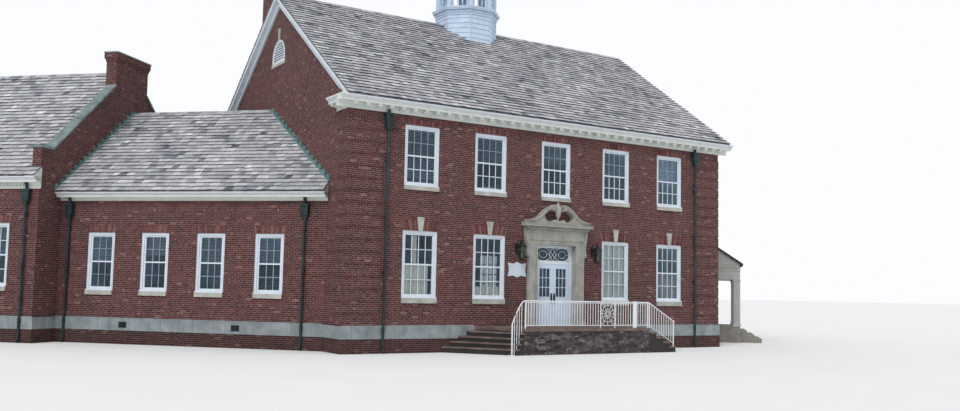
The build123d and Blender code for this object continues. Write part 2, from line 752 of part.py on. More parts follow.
# One swan-neck half: an S-curved slab round an oval opening, with a volute at its foot
def scroll(side):
    foot = ENTRY_CORNICE_TOP
    outer = side * (ENTRY_CORNICE_HALF - SURROUND_PROUD)
    inner = side * PEDIMENT_GAP
    middle = (outer + inner) / 2
    low = foot + PEDIMENT_END_HIGH
    bend = foot + PEDIMENT_BEND_HIGH
    tip = PEDIMENT_TOP - PEDIMENT_TIP_DROP
    lower = Edge.make_three_point_arc(
        Vector(outer, 0, low), Vector((outer + middle) / 2, 0, (low + bend) / 2 - PEDIMENT_SAG),
        Vector(middle, 0, bend))
    upper = Edge.make_three_point_arc(
        Vector(middle, 0, bend), Vector((inner + middle) / 2, 0, (bend + tip) / 2 + PEDIMENT_SAG),
        Vector(inner, 0, tip))
    close = [Edge.make_line(Vector(inner, 0, tip), Vector(inner, 0, foot)),
             Edge.make_line(Vector(inner, 0, foot), Vector(outer, 0, foot)),
             Edge.make_line(Vector(outer, 0, foot), Vector(outer, 0, low))]
    face = Face(Wire([lower, upper] + close))
    slab = Part(Solid.extrude(face, Vector(0, -PEDIMENT_PROUD, 0)).wrapped)
    turn = Pos(side * PEDIMENT_OPEN_X, 0, foot + PEDIMENT_OPEN_Z) * Rot(90, 0, 0)
    slab -= turn * extrude(Ellipse(PEDIMENT_OPEN_HALF, PEDIMENT_OPEN_TALL), 2 * PEDIMENT_PROUD, both=True)
    volute = Pos(inner, -PEDIMENT_PROUD / 2, foot + VOLUTE_RADIUS) * Rot(90, 0, 0)
    return slab + volute * Cylinder(VOLUTE_RADIUS, PEDIMENT_PROUD)


# Tall turned urn on a square plinth, standing on the cornice between the scrolls
def urn():
    foot = ENTRY_CORNICE_TOP
    y = -URN_RADIUS - URN_CLEAR
    plinth_top = foot + URN_RADIUS
    half = URN_RADIUS * PLINTH_SHARE
    spline = Spline([Vector(URN_RADIUS * r, 0, plinth_top + (URN_HIGH - URN_RADIUS) * h)
                     for r, h in URN_PROFILE])
    foot_line = Line((0, 0, plinth_top), spline @ 0)
    top_line = Line(spline @ 1, (0, 0, foot + URN_HIGH))
    axis_line = Line((0, 0, foot + URN_HIGH), (0, 0, plinth_top))
    outline = Face(Wire([foot_line.edge(), spline.edge(), top_line.edge(), axis_line.edge()]))
    turned = revolve(outline, Axis.Z)
    return block(-half, half, y - half, y + half, foot, plinth_top) + Pos(0, y, 0) * turned


# White timber frame round the doors and the transom light
def door_frame():
    y0 = DOOR_FRAME_FACE
    y1 = DOOR_FRAME_FACE + DOOR_FRAME_DEEP
    half = SURROUND_OPEN_HALF
    stop_y = y0 + DOOR_CLEAR + DOOR_THICK + DOOR_CLEAR
    open_half = DOOR_OPEN_HALF
    frame = block(-half, half, y0, y1, FLOOR_LEVEL, SURROUND_OPEN_TOP)
    frame -= block(-open_half, open_half, y0, stop_y, FLOOR_LEVEL, DOOR_HEAD)
    frame -= block(-open_half + STOP_WIDE, open_half - STOP_WIDE, y0, y1, FLOOR_LEVEL,
                   DOOR_HEAD - STOP_WIDE)
    frame -= block(-open_half, open_half, y0, y1, DOOR_HEAD + TRANSOM_BAR,
                   SURROUND_OPEN_TOP - FRAME_HEAD)
    for side in (-1, 1):
        axis_x, axis_y = hinge_axis(side)
        for height in HINGE_HEIGHTS:
            z = FLOOR_LEVEL + height
            gap = HINGE_HALF / 2 + SEAT_GAP
            for z0, z1 in ((z - HINGE_HALF, z - gap), (z + gap, z + HINGE_HALF)):
                frame += post(axis_x, axis_y, z0, z1, HINGE_RADIUS)
                frame += block(side * open_half, side * (open_half + HINGE_LEAF),
                               y0 - HINGE_PROUD, y0, z0, z1)
    add("door_frame", [frame])
    pane_y = (y0 + y1) / 2
    add("window_glass", [block(-open_half, open_half, pane_y, pane_y + PANE_THICK,
                               DOOR_HEAD + TRANSOM_BAR, SURROUND_OPEN_TOP - FRAME_HEAD)])


# Where a door leaf turns, in plan
def hinge_axis(side):
    axis_x = side * (DOOR_OPEN_HALF - DOOR_CLEAR / 2)
    axis_y = DOOR_FRAME_FACE - HINGE_RADIUS - SEAT_GAP
    return axis_x, axis_y


# One door leaf with its glass, handle and hinge barrels; side is -1 left, 1 right
def door_leaf(side, name):
    y0 = DOOR_FRAME_FACE + DOOR_CLEAR
    y1 = y0 + DOOR_THICK
    z0 = FLOOR_LEVEL + DOOR_CLEAR
    z1 = DOOR_HEAD - DOOR_CLEAR
    inner = side * DOOR_CLEAR / 2
    outer = side * (DOOR_OPEN_HALF - DOOR_CLEAR)
    leaf = block(inner, outer, y0, y1, z0, z1)
    glass_in = inner + side * DOOR_GLASS_EDGE
    glass_out = outer - side * DOOR_GLASS_EDGE
    glass_low = FLOOR_LEVEL + DOOR_GLASS_BOTTOM
    glass_high = z1 - DOOR_GLASS_TOP_EDGE
    leaf -= block(glass_in, glass_out, y0, y1, glass_low, glass_high)
    for face, deep in ((y0, DOOR_PANEL_SINK), (y1, -DOOR_PANEL_SINK)):
        leaf -= block(glass_in, glass_out, face, face + deep, FLOOR_LEVEL + DOOR_PANEL_BOTTOM,
                      FLOOR_LEVEL + DOOR_PANEL_TOP)
    axis_x, axis_y = hinge_axis(side)
    for height in HINGE_HEIGHTS:
        low = FLOOR_LEVEL + height - HINGE_HALF / 2
        high = FLOOR_LEVEL + height + HINGE_HALF / 2
        leaf += post(axis_x, axis_y, low, high, HINGE_RADIUS)
        leaf += block(axis_x, axis_x - side * HINGE_RADIUS, axis_y, y0, low, high)
        leaf += block(axis_x, outer - side * HINGE_LEAF, y0 - HINGE_PROUD, y0, low, high)
    add(name, [leaf])
    pane_y = (y0 + y1) / 2 - PANE_THICK / 2
    add(name + "_glass", [block(glass_in, glass_out, pane_y, pane_y + PANE_THICK, glass_low,
                                glass_high)])
    x = inner + side * HANDLE_EDGE
    z = FLOOR_LEVEL + HANDLE_Z
    half = HANDLE_HIGH / 2
    bar_y = y0 - HANDLE_STAND
    grip = post(x, bar_y, z - half, z + half, HANDLE_RADIUS)
    for offset in (-half + 2 * HANDLE_RADIUS, half - 2 * HANDLE_RADIUS):
        stub = Pos(x, (bar_y + y0) / 2, z + offset) * Rot(90, 0, 0)
        grip += stub * Cylinder(HANDLE_RADIUS, HANDLE_STAND)
    add(name + "_handle", [grip])


# Bracketed wall lanterns and the shaped plaque
def wall_fittings():
    for side in (-1, 1):
        x = side * LANTERN_X
        y = -LANTERN_ARM_OUT
        top = LANTERN_BOTTOM + LANTERN_BODY
        plate_z = LANTERN_BOTTOM + LANTERN_BODY / 2
        half = LANTERN_BODY_WIDE / 2
        body = lantern_body(x, y, LANTERN_FOOT_HALF, half, LANTERN_BOTTOM, top)
        cap = lantern_body(x, y, half, LANTERN_CAP_HALF, top, top + half)
        arm_z = top + half
        arm = block(x - HANDLE_RADIUS, x + HANDLE_RADIUS, y, 0, arm_z - HANDLE_RADIUS,
                    arm_z + HANDLE_RADIUS)
        plate = block(x - LANTERN_PLATE_WIDE / 2, x + LANTERN_PLATE_WIDE / 2, -PLAQUE_THICK, 0,
                      plate_z, arm_z + HANDLE_RADIUS)
        add("wall_lanterns", [body + cap + plate + arm])
    half = PLAQUE_WIDE / 2
    tall = PLAQUE_HIGH / 2
    cut = PLAQUE_HIGH / 4
    outline = [(-half, -tall), (half, -tall), (half, tall - cut), (half - cut, tall - cut),
               (half - 2 * cut, tall), (-half + 2 * cut, tall), (-half + cut, tall - cut),
               (-half, tall - cut)]
    points = [(PLAQUE_X + x, PLAQUE_Z + z) for x, z in outline]
    add("wall_plaque", [prism_y(points, -PLAQUE_THICK, 0)])


# Four-sided tapered body between two square sections
def lantern_body(x, y, half0, half1, z0, z1):
    low = Pos(x, y, z0) * Rectangle(2 * half0, 2 * half0)
    high = Pos(x, y, z1) * Rectangle(2 * half1, 2 * half1)
    return loft([low, high])


# Brick platform with a stone slab, and a flight at each end
def platform():
    wall_y = -BASE_PROUD
    front = -PLATFORM_FRONT
    outline = [(-PLATFORM_BACK_LEFT, wall_y), (-PLATFORM_HALF, front), (PLATFORM_HALF, front),
               (PLATFORM_HALF, wall_y)]
    add("platform_base", [prism_z(outline, 0, FLOOR_LEVEL - SLAB_THICK)])
    lip = SLAB_LIP
    splay = (PLATFORM_BACK_LEFT - PLATFORM_HALF) / (PLATFORM_FRONT - BASE_PROUD)
    slab = [(-PLATFORM_BACK_LEFT, wall_y), (-PLATFORM_HALF + lip * splay, front - lip),
            (PLATFORM_HALF, front - lip), (PLATFORM_HALF, wall_y)]
    add("platform_slab", [prism_z(slab, FLOOR_LEVEL - SLAB_THICK, FLOOR_LEVEL)])
    riser = FLOOR_LEVEL / RISERS
    for k in range(RISERS - 1):
        z1 = FLOOR_LEVEL - (k + 1) * riser
        z0 = z1 - riser
        # Right flight: straight treads
        x0 = PLATFORM_HALF + k * TREAD
        add("right_steps", [block(x0 + JOINT_GAP, x0 + TREAD, front, wall_y, 0, z1)])
        # Left flight: treads that fan out towards the wall
        a = PLATFORM_BACK_LEFT + k * TREAD
        b = PLATFORM_HALF + k * FAN_STEP
        tread = [(-a - JOINT_GAP, wall_y), (-a - TREAD, wall_y),
                 (-b - FAN_STEP, front), (-b - JOINT_GAP, front)]
        add("left_steps", [prism_z(tread, 0, z1)])


# One railing panel along a line in plan: its pitch line and its posts' feet at each end
def railing_panel(start, end, pitch, feet):
    length = math.dist(start, end)
    heading = math.degrees(math.atan2(end[1] - start[1], end[0] - start[0]))
    half = RAIL_BAR / 2
    bars = []
    for height in (RAIL_FOOT, RAIL_HIGH - RAIL_BAR):
        outline = [(0, pitch[0] + height), (length, pitch[1] + height),
                   (length, pitch[1] + height + RAIL_BAR), (0, pitch[0] + height + RAIL_BAR)]
        bars.append(prism_y(outline, -half, half))
    count = max(2, round(length / BALUSTER_STEP))
    thin = BALUSTER / 2
    for k in range(1, count):
        x = length * k / count
        foot = pitch[0] + (pitch[1] - pitch[0]) * k / count
        bars.append(block(x - thin, x + thin, -thin, thin, foot + RAIL_FOOT + half,
                          foot + RAIL_HIGH - half))
    wide = RAIL_POST / 2
    for x, foot, top in ((0, feet[0], pitch[0]), (length, feet[1], pitch[1])):
        bars.append(block(x - wide, x + wide, -wide, wide, foot, top + RAIL_HIGH))
    panel = bars[0]
    for bar in bars[1:]:
        panel += bar
    return Pos(start[0], start[1], 0) * Rot(0, 0, heading) * panel


# Height of the stairs' pitch line at a run from the platform's edge
def pitch_at(run, tread):
    return FLOOR_LEVEL - FLOOR_LEVEL / RISERS * run / tread


def railings():
    y = -PLATFORM_FRONT + RAIL_INSET
    x1 = PLATFORM_HALF - RAIL_INSET
    level = (FLOOR_LEVEL, FLOOR_LEVEL)
    add("railings", [railing_panel((-x1, y), (x1, y), level, level)])
    riser = FLOOR_LEVEL / RISERS
    near = RAIL_POST / 2 + JOINT_GAP
    # The left flight's edges splay towards the wall, so its panel stands further out
    share = (RAIL_INSET + RAIL_POST / 2) / (PLATFORM_FRONT - BASE_PROUD)
    left_edge = PLATFORM_HALF + (PLATFORM_BACK_LEFT - PLATFORM_HALF) * share
    left_step = FAN_STEP + (TREAD - FAN_STEP) * share
    right_far = (RISERS - 1) * TREAD - RAIL_INSET
    left_far = RISERS * left_step + RAIL_POST
    for side, edge, step, far, last_foot in ((1, PLATFORM_HALF, TREAD, right_far, riser),
                                             (-1, left_edge, left_step, left_far, 0)):
        pitch = (pitch_at(near, step), pitch_at(far, step))
        feet = (FLOOR_LEVEL - riser, last_foot)
        start = (side * (edge + near), y)
        end = (side * (edge + far), y)
        add("railings", [railing_panel(start, end, pitch, feet)])


# Walls and roofs of the wings
def wings():
    end_space = end_block.place * plan_envelope(end_block, 0)
    spots = {left_wing: [-s for s in WING_WINDOWS],
             right_wing: [s for s in WING_WINDOWS if not PORCH_NEAR < s < PORCH_FAR]}
    for volume in WINGS:
        windows = [wing_window(x) for x in spots[volume]]
        wall = pierce(eave_wall(volume, volume.x0, volume.x1, FLOOR_LEVEL), windows)
        if volume is right_wing:
            wall -= side_door_hole()
        add("wing_walls", [cut_by_main(volume.place * wall)])
        back = volume.face(True) * eave_wall(volume, volume.x0, volume.x1, FLOOR_LEVEL)
        add("wing_walls", [cut_by_main(back)])
        fit_windows(volume.place, windows, "wing_window_frames")
        outs = (0, 0) if volume is left_wing else (0, VERGE)
        for slope in roof_slopes(volume, *outs):
            placed = cut_by_main(volume.place * slope)
            add("wing_roofs", [placed - end_space])
        for side in (False, True):
            run = volume.face(side) * cornice_run(volume, volume.x0, volume.x1)
            add("wing_cornices", [cut_by_main(run) - end_space])
    gable = gable_wall(right_wing, right_wing.x1 - WALL, right_wing.x1, FLOOR_LEVEL)
    windows = [wing_window(x) for x in gable_window_spots(WING_DEPTH)]
    place = right_turn * Pos(WING_LENGTH, 0, 0) * Rot(0, 0, 90)
    add("wing_walls", [right_turn * gable - place * hole_group(windows)])
    fit_windows(place, windows, "wing_window_frames")


def gable_window_spots(depth):
    return [depth / 3, depth * 2 / 3]


def hole_group(windows):
    holes = windows[0].hole()
    for window in windows[1:]:
        holes += window.hole()
    return holes


# Parapet outline in (y, z) from its foot to the coping's underside
def parapet_profile(bottom, raise_by):
    mid = END_DEPTH / 2
    peak = PARAPET_TOP + (mid - KNEELER) * END_SLOPE
    points = [(0, PARAPET_TOP), (KNEELER, PARAPET_TOP), (mid, peak),
              (END_DEPTH - KNEELER, PARAPET_TOP), (END_DEPTH, PARAPET_TOP)]
    lifted = [(y, z - COPING_THICK + raise_by) for y, z in points]
    return [(0, bottom)] + lifted + [(END_DEPTH, bottom)], lifted


# End block: walls between two parapet gables, coping, chimney and roof
def end_walls():
    place = end_block.place
    x0 = end_block.x0
    x1 = end_block.x1
    windows = [end_window(x1 - s) for s in END_WINDOWS]
    wall = pierce(eave_wall(end_block, x0 + WALL, x1 - WALL, FLOOR_LEVEL), windows)
    add("end_block_walls", [place * wall, end_block.face(True) * wall])
    fit_windows(place, windows, "wing_window_frames")
    fit_windows(end_block.face(True), windows, "wing_window_frames")
    outline, line = parapet_profile(FLOOR_LEVEL, 0)
    gable_windows = [end_window(y - END_DEPTH) for y in gable_window_spots(END_DEPTH)]
    far_place = place * Pos(x0, 0, 0) * Rot(0, 0, -90)
    right_gable = place * prism_x(outline, x1 - WALL, x1)
    left_gable = place * prism_x(outline, x0, x0 + WALL)
    left_gable -= far_place * hole_group(gable_windows)
    fit_windows(far_place, gable_windows, "wing_window_frames")
    add("end_block_gables", [left_gable, right_gable])
    stack = place * capped_stack(x1 - END_CHIMNEY_WIDE, x1, END_CHIMNEY_NEAR, END_CHIMNEY_FAR,
                                 END_EAVE, END_CHIMNEY_TOP)
    clear = place * block(x1 - END_CHIMNEY_WIDE, x1 + 2 * COPING_LIP, END_CHIMNEY_NEAR,
                          END_CHIMNEY_FAR, END_EAVE, END_CHIMNEY_TOP)
    for inner, outer in ((x0 - COPING_LIP, x0 + WALL + COPING_LIP),
                         (x1 - WALL - COPING_LIP, x1 + COPING_LIP)):
        for back in (False, True):
            points = [(-COPING_LIP, line[0][1]), line[1], line[2]]
            top = [(y, z + COPING_THICK) for y, z in points]
            profile = points + list(reversed(top))
            profile[2] = (profile[2][0] - JOINT_GAP, profile[2][1])
            profile[3] = (profile[3][0] - JOINT_GAP, profile[3][1])
            if back:
                profile = [(END_DEPTH - y, z) for y, z in profile]
            coping = place * prism_x(profile, inner, outer)
            add("end_block_coping", [coping - stack - clear])
    roof_under = place * roof_body(end_block)
    gables = place * prism_x(outline, x1 - WALL, x1)
    add("chimneys", [stack - roof_under - gables])
    for back in (False, True):
        run = cornice_run(end_block, x0 - END_CORNICE_REACH, x1 + END_CORNICE_REACH)
        add("wing_cornices", [end_block.face(back) * run])


def end_roof():
    inner = Volume(end_block.x0 + WALL, end_block.x1 - WALL, END_DEPTH, END_EAVE, END_OVERHANG,
                   END_SLOPE, END_FRIEZE, END_SOFFIT, end_place)
    add("wing_roofs", [end_place * slope for slope in roof_slopes(inner, 0, 0)])


def side_door_hole():
    centre = (PORCH_NEAR + PORCH_FAR) / 2
    half = SIDE_DOOR_WIDE / 2 + SIDE_DOOR_FRAME
    return block(centre - half, centre + half, -WALL, 2 * WALL, FLOOR_LEVEL, SIDE_DOOR_TOP)


# Side porch on the right wing: floor, steps, piers, beams and a lean-to roof
def side_porch():
    place = right_turn
    wall_y = -BASE_PROUD
    near = PORCH_NEAR
    far = PORCH_FAR
    out = -PORCH_OUT
    add("side_porch_floor", [place * block(near, far, out, wall_y, 0, PORCH_FLOOR)])
    riser = PORCH_FLOOR / (PORCH_TREADS + 1)
    for k in range(PORCH_TREADS):
        y1 = out - k * TREAD - JOINT_GAP
        z1 = PORCH_FLOOR - (k + 1) * riser
        tread = block(near + PORCH_PIER, far - PORCH_PIER, y1 - TREAD + JOINT_GAP, y1, 0, z1)
        add("side_porch_floor", [place * tread])
    pier_y = out + PORCH_PIER
    edge = out - PORCH_EAVE_OUT
    high = WING_FRIEZE - SEAT_GAP - PORCH_ROOF_THICK
    slope = (high - PORCH_BEAM_TOP) / -edge
    shoulder = PORCH_BEAM_TOP + (pier_y - edge) * slope
    cheek = [(pier_y + JOINT_GAP, PORCH_BEAM_BOTTOM), (0, PORCH_BEAM_BOTTOM), (0, high),
             (pier_y + JOINT_GAP, shoulder + JOINT_GAP * slope)]
    for x in (near, far - PORCH_PIER):
        add("side_porch_piers", [place * block(x, x + PORCH_PIER, out, pier_y, PORCH_FLOOR,
                                               PORCH_BEAM_BOTTOM)])
        add("side_porch_beams", [place * prism_x(cheek, x, x + PORCH_PIER)])
    front = [(out, PORCH_BEAM_BOTTOM), (pier_y, PORCH_BEAM_BOTTOM), (pier_y, shoulder),
             (out, PORCH_BEAM_TOP + (out - edge) * slope)]
    add("side_porch_beams", [place * prism_x(front, near, far)])
    roof = [(edge, PORCH_BEAM_TOP), (0, high), (0, high + PORCH_ROOF_THICK),
            (edge, PORCH_BEAM_TOP + PORCH_ROOF_THICK)]
    roof_piece = prism_x(roof, near - PORCH_EAVE_OUT, far + PORCH_EAVE_OUT)
    add("side_porch_roof", [place * roof_piece])
    centre = (near + far) / 2
    half = SIDE_DOOR_WIDE / 2
    outer = half + SIDE_DOOR_FRAME
    back = FRAME_SETBACK + FRAME_DEEP
    frame = block(centre - outer, centre + outer, FRAME_SETBACK, back, FLOOR_LEVEL,
                  SIDE_DOOR_TOP)
    frame -= block(centre - half, centre + half, FRAME_SETBACK, back, FLOOR_LEVEL,
                   SIDE_DOOR_TOP - SIDE_DOOR_FRAME)
    leaf = block(centre - half, centre + half, back - SIDE_DOOR_THICK, back, FLOOR_LEVEL,
                 SIDE_DOOR_TOP - SIDE_DOOR_FRAME)
    add("side_door", [place * (frame + leaf)])


# One rainwater pipe on a wall face, up to the soffit, with wall brackets
def downspout(x, soffit):
    pipe = post(x, -PIPE_OUT, PIPE_FOOT, soffit, PIPE_RADIUS)
    top = soffit - HEAD_DROP + HEAD_HIGH
    pipe += block(x - HEAD_WIDE / 2, x + HEAD_WIDE / 2, -HEAD_DEEP, 0, soffit - HEAD_DROP, top)
    span = soffit - HEAD_DROP - FLOOR_LEVEL
    for share in BRACKET_SHARES:
        z = FLOOR_LEVEL + span * share
        pipe += block(x - PIPE_RADIUS, x + PIPE_RADIUS, -PIPE_OUT, 0, z, z + PIPE_RADIUS)
    return pipe


def downspouts():
    for back in (False, True):
        for x in (-MAIN_PIPE_X, MAIN_PIPE_X):
            add("downspouts", [main.face(back) * downspout(x, MAIN_SOFFIT)])
    for s in (WING_PIPE_NEAR, WING_LENGTH - WING_PIPE_EDGE):
        add("downspouts", [left_wing.place * downspout(-s, WING_SOFFIT)])
        add("downspouts", [right_wing.place * downspout(s, WING_SOFFIT)])
    add("downspouts", [end_place * downspout(end_block.x1 - END_PIPE, END_SOFFIT)])


def build():
    base_and_band()
    floors()
    main_walls()
    gable_vents()
    main_roof()
    main_chimney()
    cupola()
    entrance_stone()
    door_frame()
    door_leaf(-1, "left_door")
    door_leaf(1, "right_door")
    wall_fittings()
    platform()
    railings()
    wings()
    end_walls()
    end_roof()
    side_porch()
    downspouts()


def write():
    os.makedirs("parts", exist_ok=True)
    for name, solids in nodes.items():
        export_step(Compound(solids), f"parts/{name}.step")
        print(name, len(solids))


build()
write()
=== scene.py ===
import bpy
import math
import random
import numpy as np
from mathutils import Matrix, Vector


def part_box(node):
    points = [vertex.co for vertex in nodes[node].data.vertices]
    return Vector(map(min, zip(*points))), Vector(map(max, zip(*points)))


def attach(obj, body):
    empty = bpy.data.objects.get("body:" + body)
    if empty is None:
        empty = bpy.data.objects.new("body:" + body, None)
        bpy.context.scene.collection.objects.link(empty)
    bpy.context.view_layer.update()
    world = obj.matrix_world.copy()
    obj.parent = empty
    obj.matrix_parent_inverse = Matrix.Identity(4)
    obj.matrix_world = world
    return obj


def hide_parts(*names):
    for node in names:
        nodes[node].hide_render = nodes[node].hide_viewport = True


# Looks for the town hall: slates, sash bars, mouldings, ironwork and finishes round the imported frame.
# Metres; z is up; the front door's sill is at the origin and +y runs into the building.

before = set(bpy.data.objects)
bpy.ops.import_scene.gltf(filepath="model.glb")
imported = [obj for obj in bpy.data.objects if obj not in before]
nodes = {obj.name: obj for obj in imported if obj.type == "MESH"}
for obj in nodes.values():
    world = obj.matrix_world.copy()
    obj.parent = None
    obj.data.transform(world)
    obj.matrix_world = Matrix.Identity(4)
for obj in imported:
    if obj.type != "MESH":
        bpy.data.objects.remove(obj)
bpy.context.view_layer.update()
up = np.array([0.0, 0.0, 1.0])
course = 0.0677  # one brick course with its joint
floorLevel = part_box("platform_slab")[1].z
print("frame loaded:", len(nodes), "nodes")


# A wall seen from outside: x runs right, out towards the viewer, z up
class WallFace:
    def __init__(self, corner, turn):
        angle = math.radians(turn)
        self.turn = turn
        self.corner = np.array([corner[0], corner[1], 0.0])
        self.right = np.array([math.cos(angle), math.sin(angle), 0.0])
        self.out = np.array([math.sin(angle), -math.cos(angle), 0.0])

    def at(self, x, out, z):
        return self.corner + x * self.right + out * self.out + z * up

    def beside(self, x, out, turn):
        return WallFace(self.at(x, out, 0), self.turn + turn)

    # An (x, z) outline at one distance out, and an (x, out) outline at one height
    def trace(self, outline, out):
        return [self.at(x, out, z) for x, z in outline]

    def level(self, outline, z):
        return [self.at(x, out, z) for x, out in outline]


# A gabled volume: x along its ridge, y inward from its front wall
class Volume:
    def __init__(self, sizes):
        self.sizes = sizes
        self.x0, self.x1 = sizes["ends"]
        self.depth = sizes["depth"]
        self.eave = sizes["eave"]
        self.overhang = sizes["overhang"]
        self.slope = sizes["slope"]
        self.tilt = math.atan(self.slope)
        self.slopeLength = (self.depth / 2 + self.overhang) / math.cos(self.tilt)
        self.front = WallFace(sizes["corner"], sizes["turn"])
        self.back = self.front.beside(self.x0 + self.x1, -self.depth, 180)
        self.leftEnd = self.front.beside(self.x0, 0, -90)
        self.rightEnd = self.front.beside(self.x1, 0, 90)

    def top(self, y):
        return self.eave + (min(y, self.depth - y) + self.overhang) * self.slope

    # Point on the slates, v metres up the slope from the eave, lifted off it
    def roofPoint(self, back, x, v, lift):
        y = -self.overhang + v * math.cos(self.tilt) - lift * math.sin(self.tilt)
        z = self.eave + v * math.sin(self.tilt) + lift * math.cos(self.tilt)
        return self.front.at(x, y - self.depth if back else -y, z)


mainSizes = {"ends": (-8.47, 8.47), "depth": 13.5, "eave": 8.45, "overhang": 0.45, "slope": 0.7014,
             "corner": (0, 0), "turn": 0, "frieze": 8.02, "soffit": 8.20}
leftWingSizes = {"ends": (-10.24, 0), "depth": 8.5, "eave": 5.37, "overhang": 0.4, "slope": 0.7813,
                 "corner": (-8.47, 1.445), "turn": -45, "frieze": 5.05, "soffit": 5.15}
rightWingSizes = dict(leftWingSizes, ends=(0, 10.24), corner=(8.47, 1.445), turn=45)
endBlockSizes = {"ends": (-17.8, -10.24), "depth": 10.37, "eave": 5.8, "overhang": 0.4, "slope": 0.866,
                 "forward": 1.22, "turn": -45, "frieze": 5.36, "soffit": 5.56, "parapet": 0.35}

mainBlock = Volume(mainSizes)
leftWing = Volume(leftWingSizes)
rightWing = Volume(rightWingSizes)
endBlockSizes["corner"] = leftWing.front.at(0, endBlockSizes["forward"], 0)
endBlock = Volume(endBlockSizes)
doorway = mainBlock.front


# Small helpers: evenly spaced values, a circle or oval, and a profile set at a place
def spread(start, end, count):
    return [start + (end - start) * k / count for k in range(count + 1)]


def circle(x, z, radius, count, tall=1.0):
    turns = [2 * math.pi * k / count for k in range(count)]
    return [(x + radius * math.cos(t), z + radius * tall * math.sin(t)) for t in turns]


def placed(profile, out, z):
    return [(out + o, z + h) for o, h in profile]


# Collects points and faces for one joined mesh, with a tone and a finish for each face
class Pile:
    def __init__(self):
        self.points = []
        self.faces = []
        self.tones = []
        self.finishes = []
        self.smooth = []

    def add(self, points, faces, tone=0.5, finish=0, smooth=False):
        first = len(self.points)
        self.points.extend([float(c) for c in p] for p in points)
        for face in faces:
            self.faces.append([first + k for k in face])
            self.tones.append(tone)
            self.finishes.append(finish)
            self.smooth.append(smooth)

    # Closed prism between two matching loops of points
    def between(self, loopA, loopB, caps=True, smooth=False, **look):
        n = len(loopA)
        sides = [(k, (k + 1) % n, n + (k + 1) % n, n + k) for k in range(n)]
        self.add(list(loopA) + list(loopB), sides, smooth=smooth, **look)
        if caps:
            self.add(loopA, [list(reversed(range(n)))], **look)
            self.add(loopB, [list(range(n))], **look)

    def block(self, face, x0, x1, o0, o1, z0, z1, **look):
        x0, x1 = sorted((x0, x1))
        outline = ((x0, o0), (x0, o1), (x1, o1), (x1, o0))
        self.between(face.level(outline, z0), face.level(outline, z1), **look)

    # Upright of square section round a point of the wall's plan
    def post(self, face, x, out, half, z0, z1, **look):
        self.block(face, x - half, x + half, out - half, out + half, z0, z1, **look)

    # Moulding: an (out, z) profile run along x, with mitred ends where asked
    def run(self, face, profile, x0, x1, mitre0=0, mitre1=0, **look):
        start = [face.at(x0 - mitre0 * o, o, z) for o, z in profile]
        end = [face.at(x1 + mitre1 * o, o, z) for o, z in profile]
        self.between(start, end, **look)

    # Flat outline in (x, z) on a wall, from one distance out to another
    def plate(self, face, outline, o0, o1, **look):
        self.between(face.trace(outline, o1), face.trace(outline, o0), **look)

    # Round or square bar along a path; a twist of 0.5 sets a square bar's flats level
    def bar(self, path, radius, sides=8, twist=0.0, closed=False):
        path = [np.array(p, float) for p in path]
        count = len(path)
        loops = []
        for k in range(count):
            before = path[(k - 1) % count] if closed or k > 0 else path[k]
            after = path[(k + 1) % count] if closed or k < count - 1 else path[k]
            along = (after - before) / (np.linalg.norm(after - before) + 1e-12)
            helper = up if abs(along[2]) < 0.9 else np.array([1.0, 0.0, 0.0])
            across = np.cross(along, helper)
            across = across / np.linalg.norm(across)
            other = np.cross(across, along)
            turns = [2 * math.pi * (j + twist) / sides for j in range(sides)]
            loops.append([path[k] + radius * (math.cos(t) * across + math.sin(t) * other) for t in turns])
        for k in range(count if closed else count - 1):
            self.between(loops[k], loops[(k + 1) % count], caps=False, smooth=sides > 5)
        if not closed:
            self.add(loops[0], [list(reversed(range(sides)))])
            self.add(loops[-1], [list(range(sides))])

    # (radius, z) profile turned round an upright axis; 8 sides give an octagon whose radius is to its flats
    def turned(self, centre, profile, sides=24, closed=True, **look):
        grow = 1 / math.cos(math.pi / sides) if sides <= 8 else 1.0
        points = []
        for k in range(sides):
            a = (2 * k + 1) * math.pi / sides
            points += [(centre[0] + r * grow * math.cos(a), centre[1] + r * grow * math.sin(a), z)
                       for r, z in profile]
        n = len(profile)
        faces = []
        for k in range(sides):
            here, there = k * n, (k + 1) % sides * n
            for j in range(n if closed else n - 1):
                after = (j + 1) % n
                faces.append((here + j, there + j, there + after, here + after))
        self.add(points, faces, smooth=sides > 8, **look)

    def make(self, name, slot, *finishes, body="building"):
        mesh = bpy.data.meshes.new(name)
        mesh.from_pydata(self.points, [], self.faces)
        tones = mesh.attributes.new("tone", "FLOAT", "FACE")
        tones.data.foreach_set("value", self.tones)
        mesh.polygons.foreach_set("material_index", self.finishes)
        mesh.polygons.foreach_set("use_smooth", self.smooth)
        for finish in finishes:
            mesh.materials.append(finishBook[finish])
        mesh.update()
        piece = bpy.data.objects.new(name, mesh)
        bpy.context.scene.collection.objects.link(piece)
        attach(piece, body)
        print("made", name, len(mesh.polygons), "faces")
        return piece


# Colours are written as red, green and blue from 0 to 255, as seen on screen
def paint(colour):
    shares = [c / 255 for c in colour]
    return tuple(c / 12.92 if c <= 10 / 255 else ((c + 0.055) / 1.055) ** 2.4 for c in shares) + (1.0,)


def shade(colour, share):
    return tuple(c * share for c in colour)


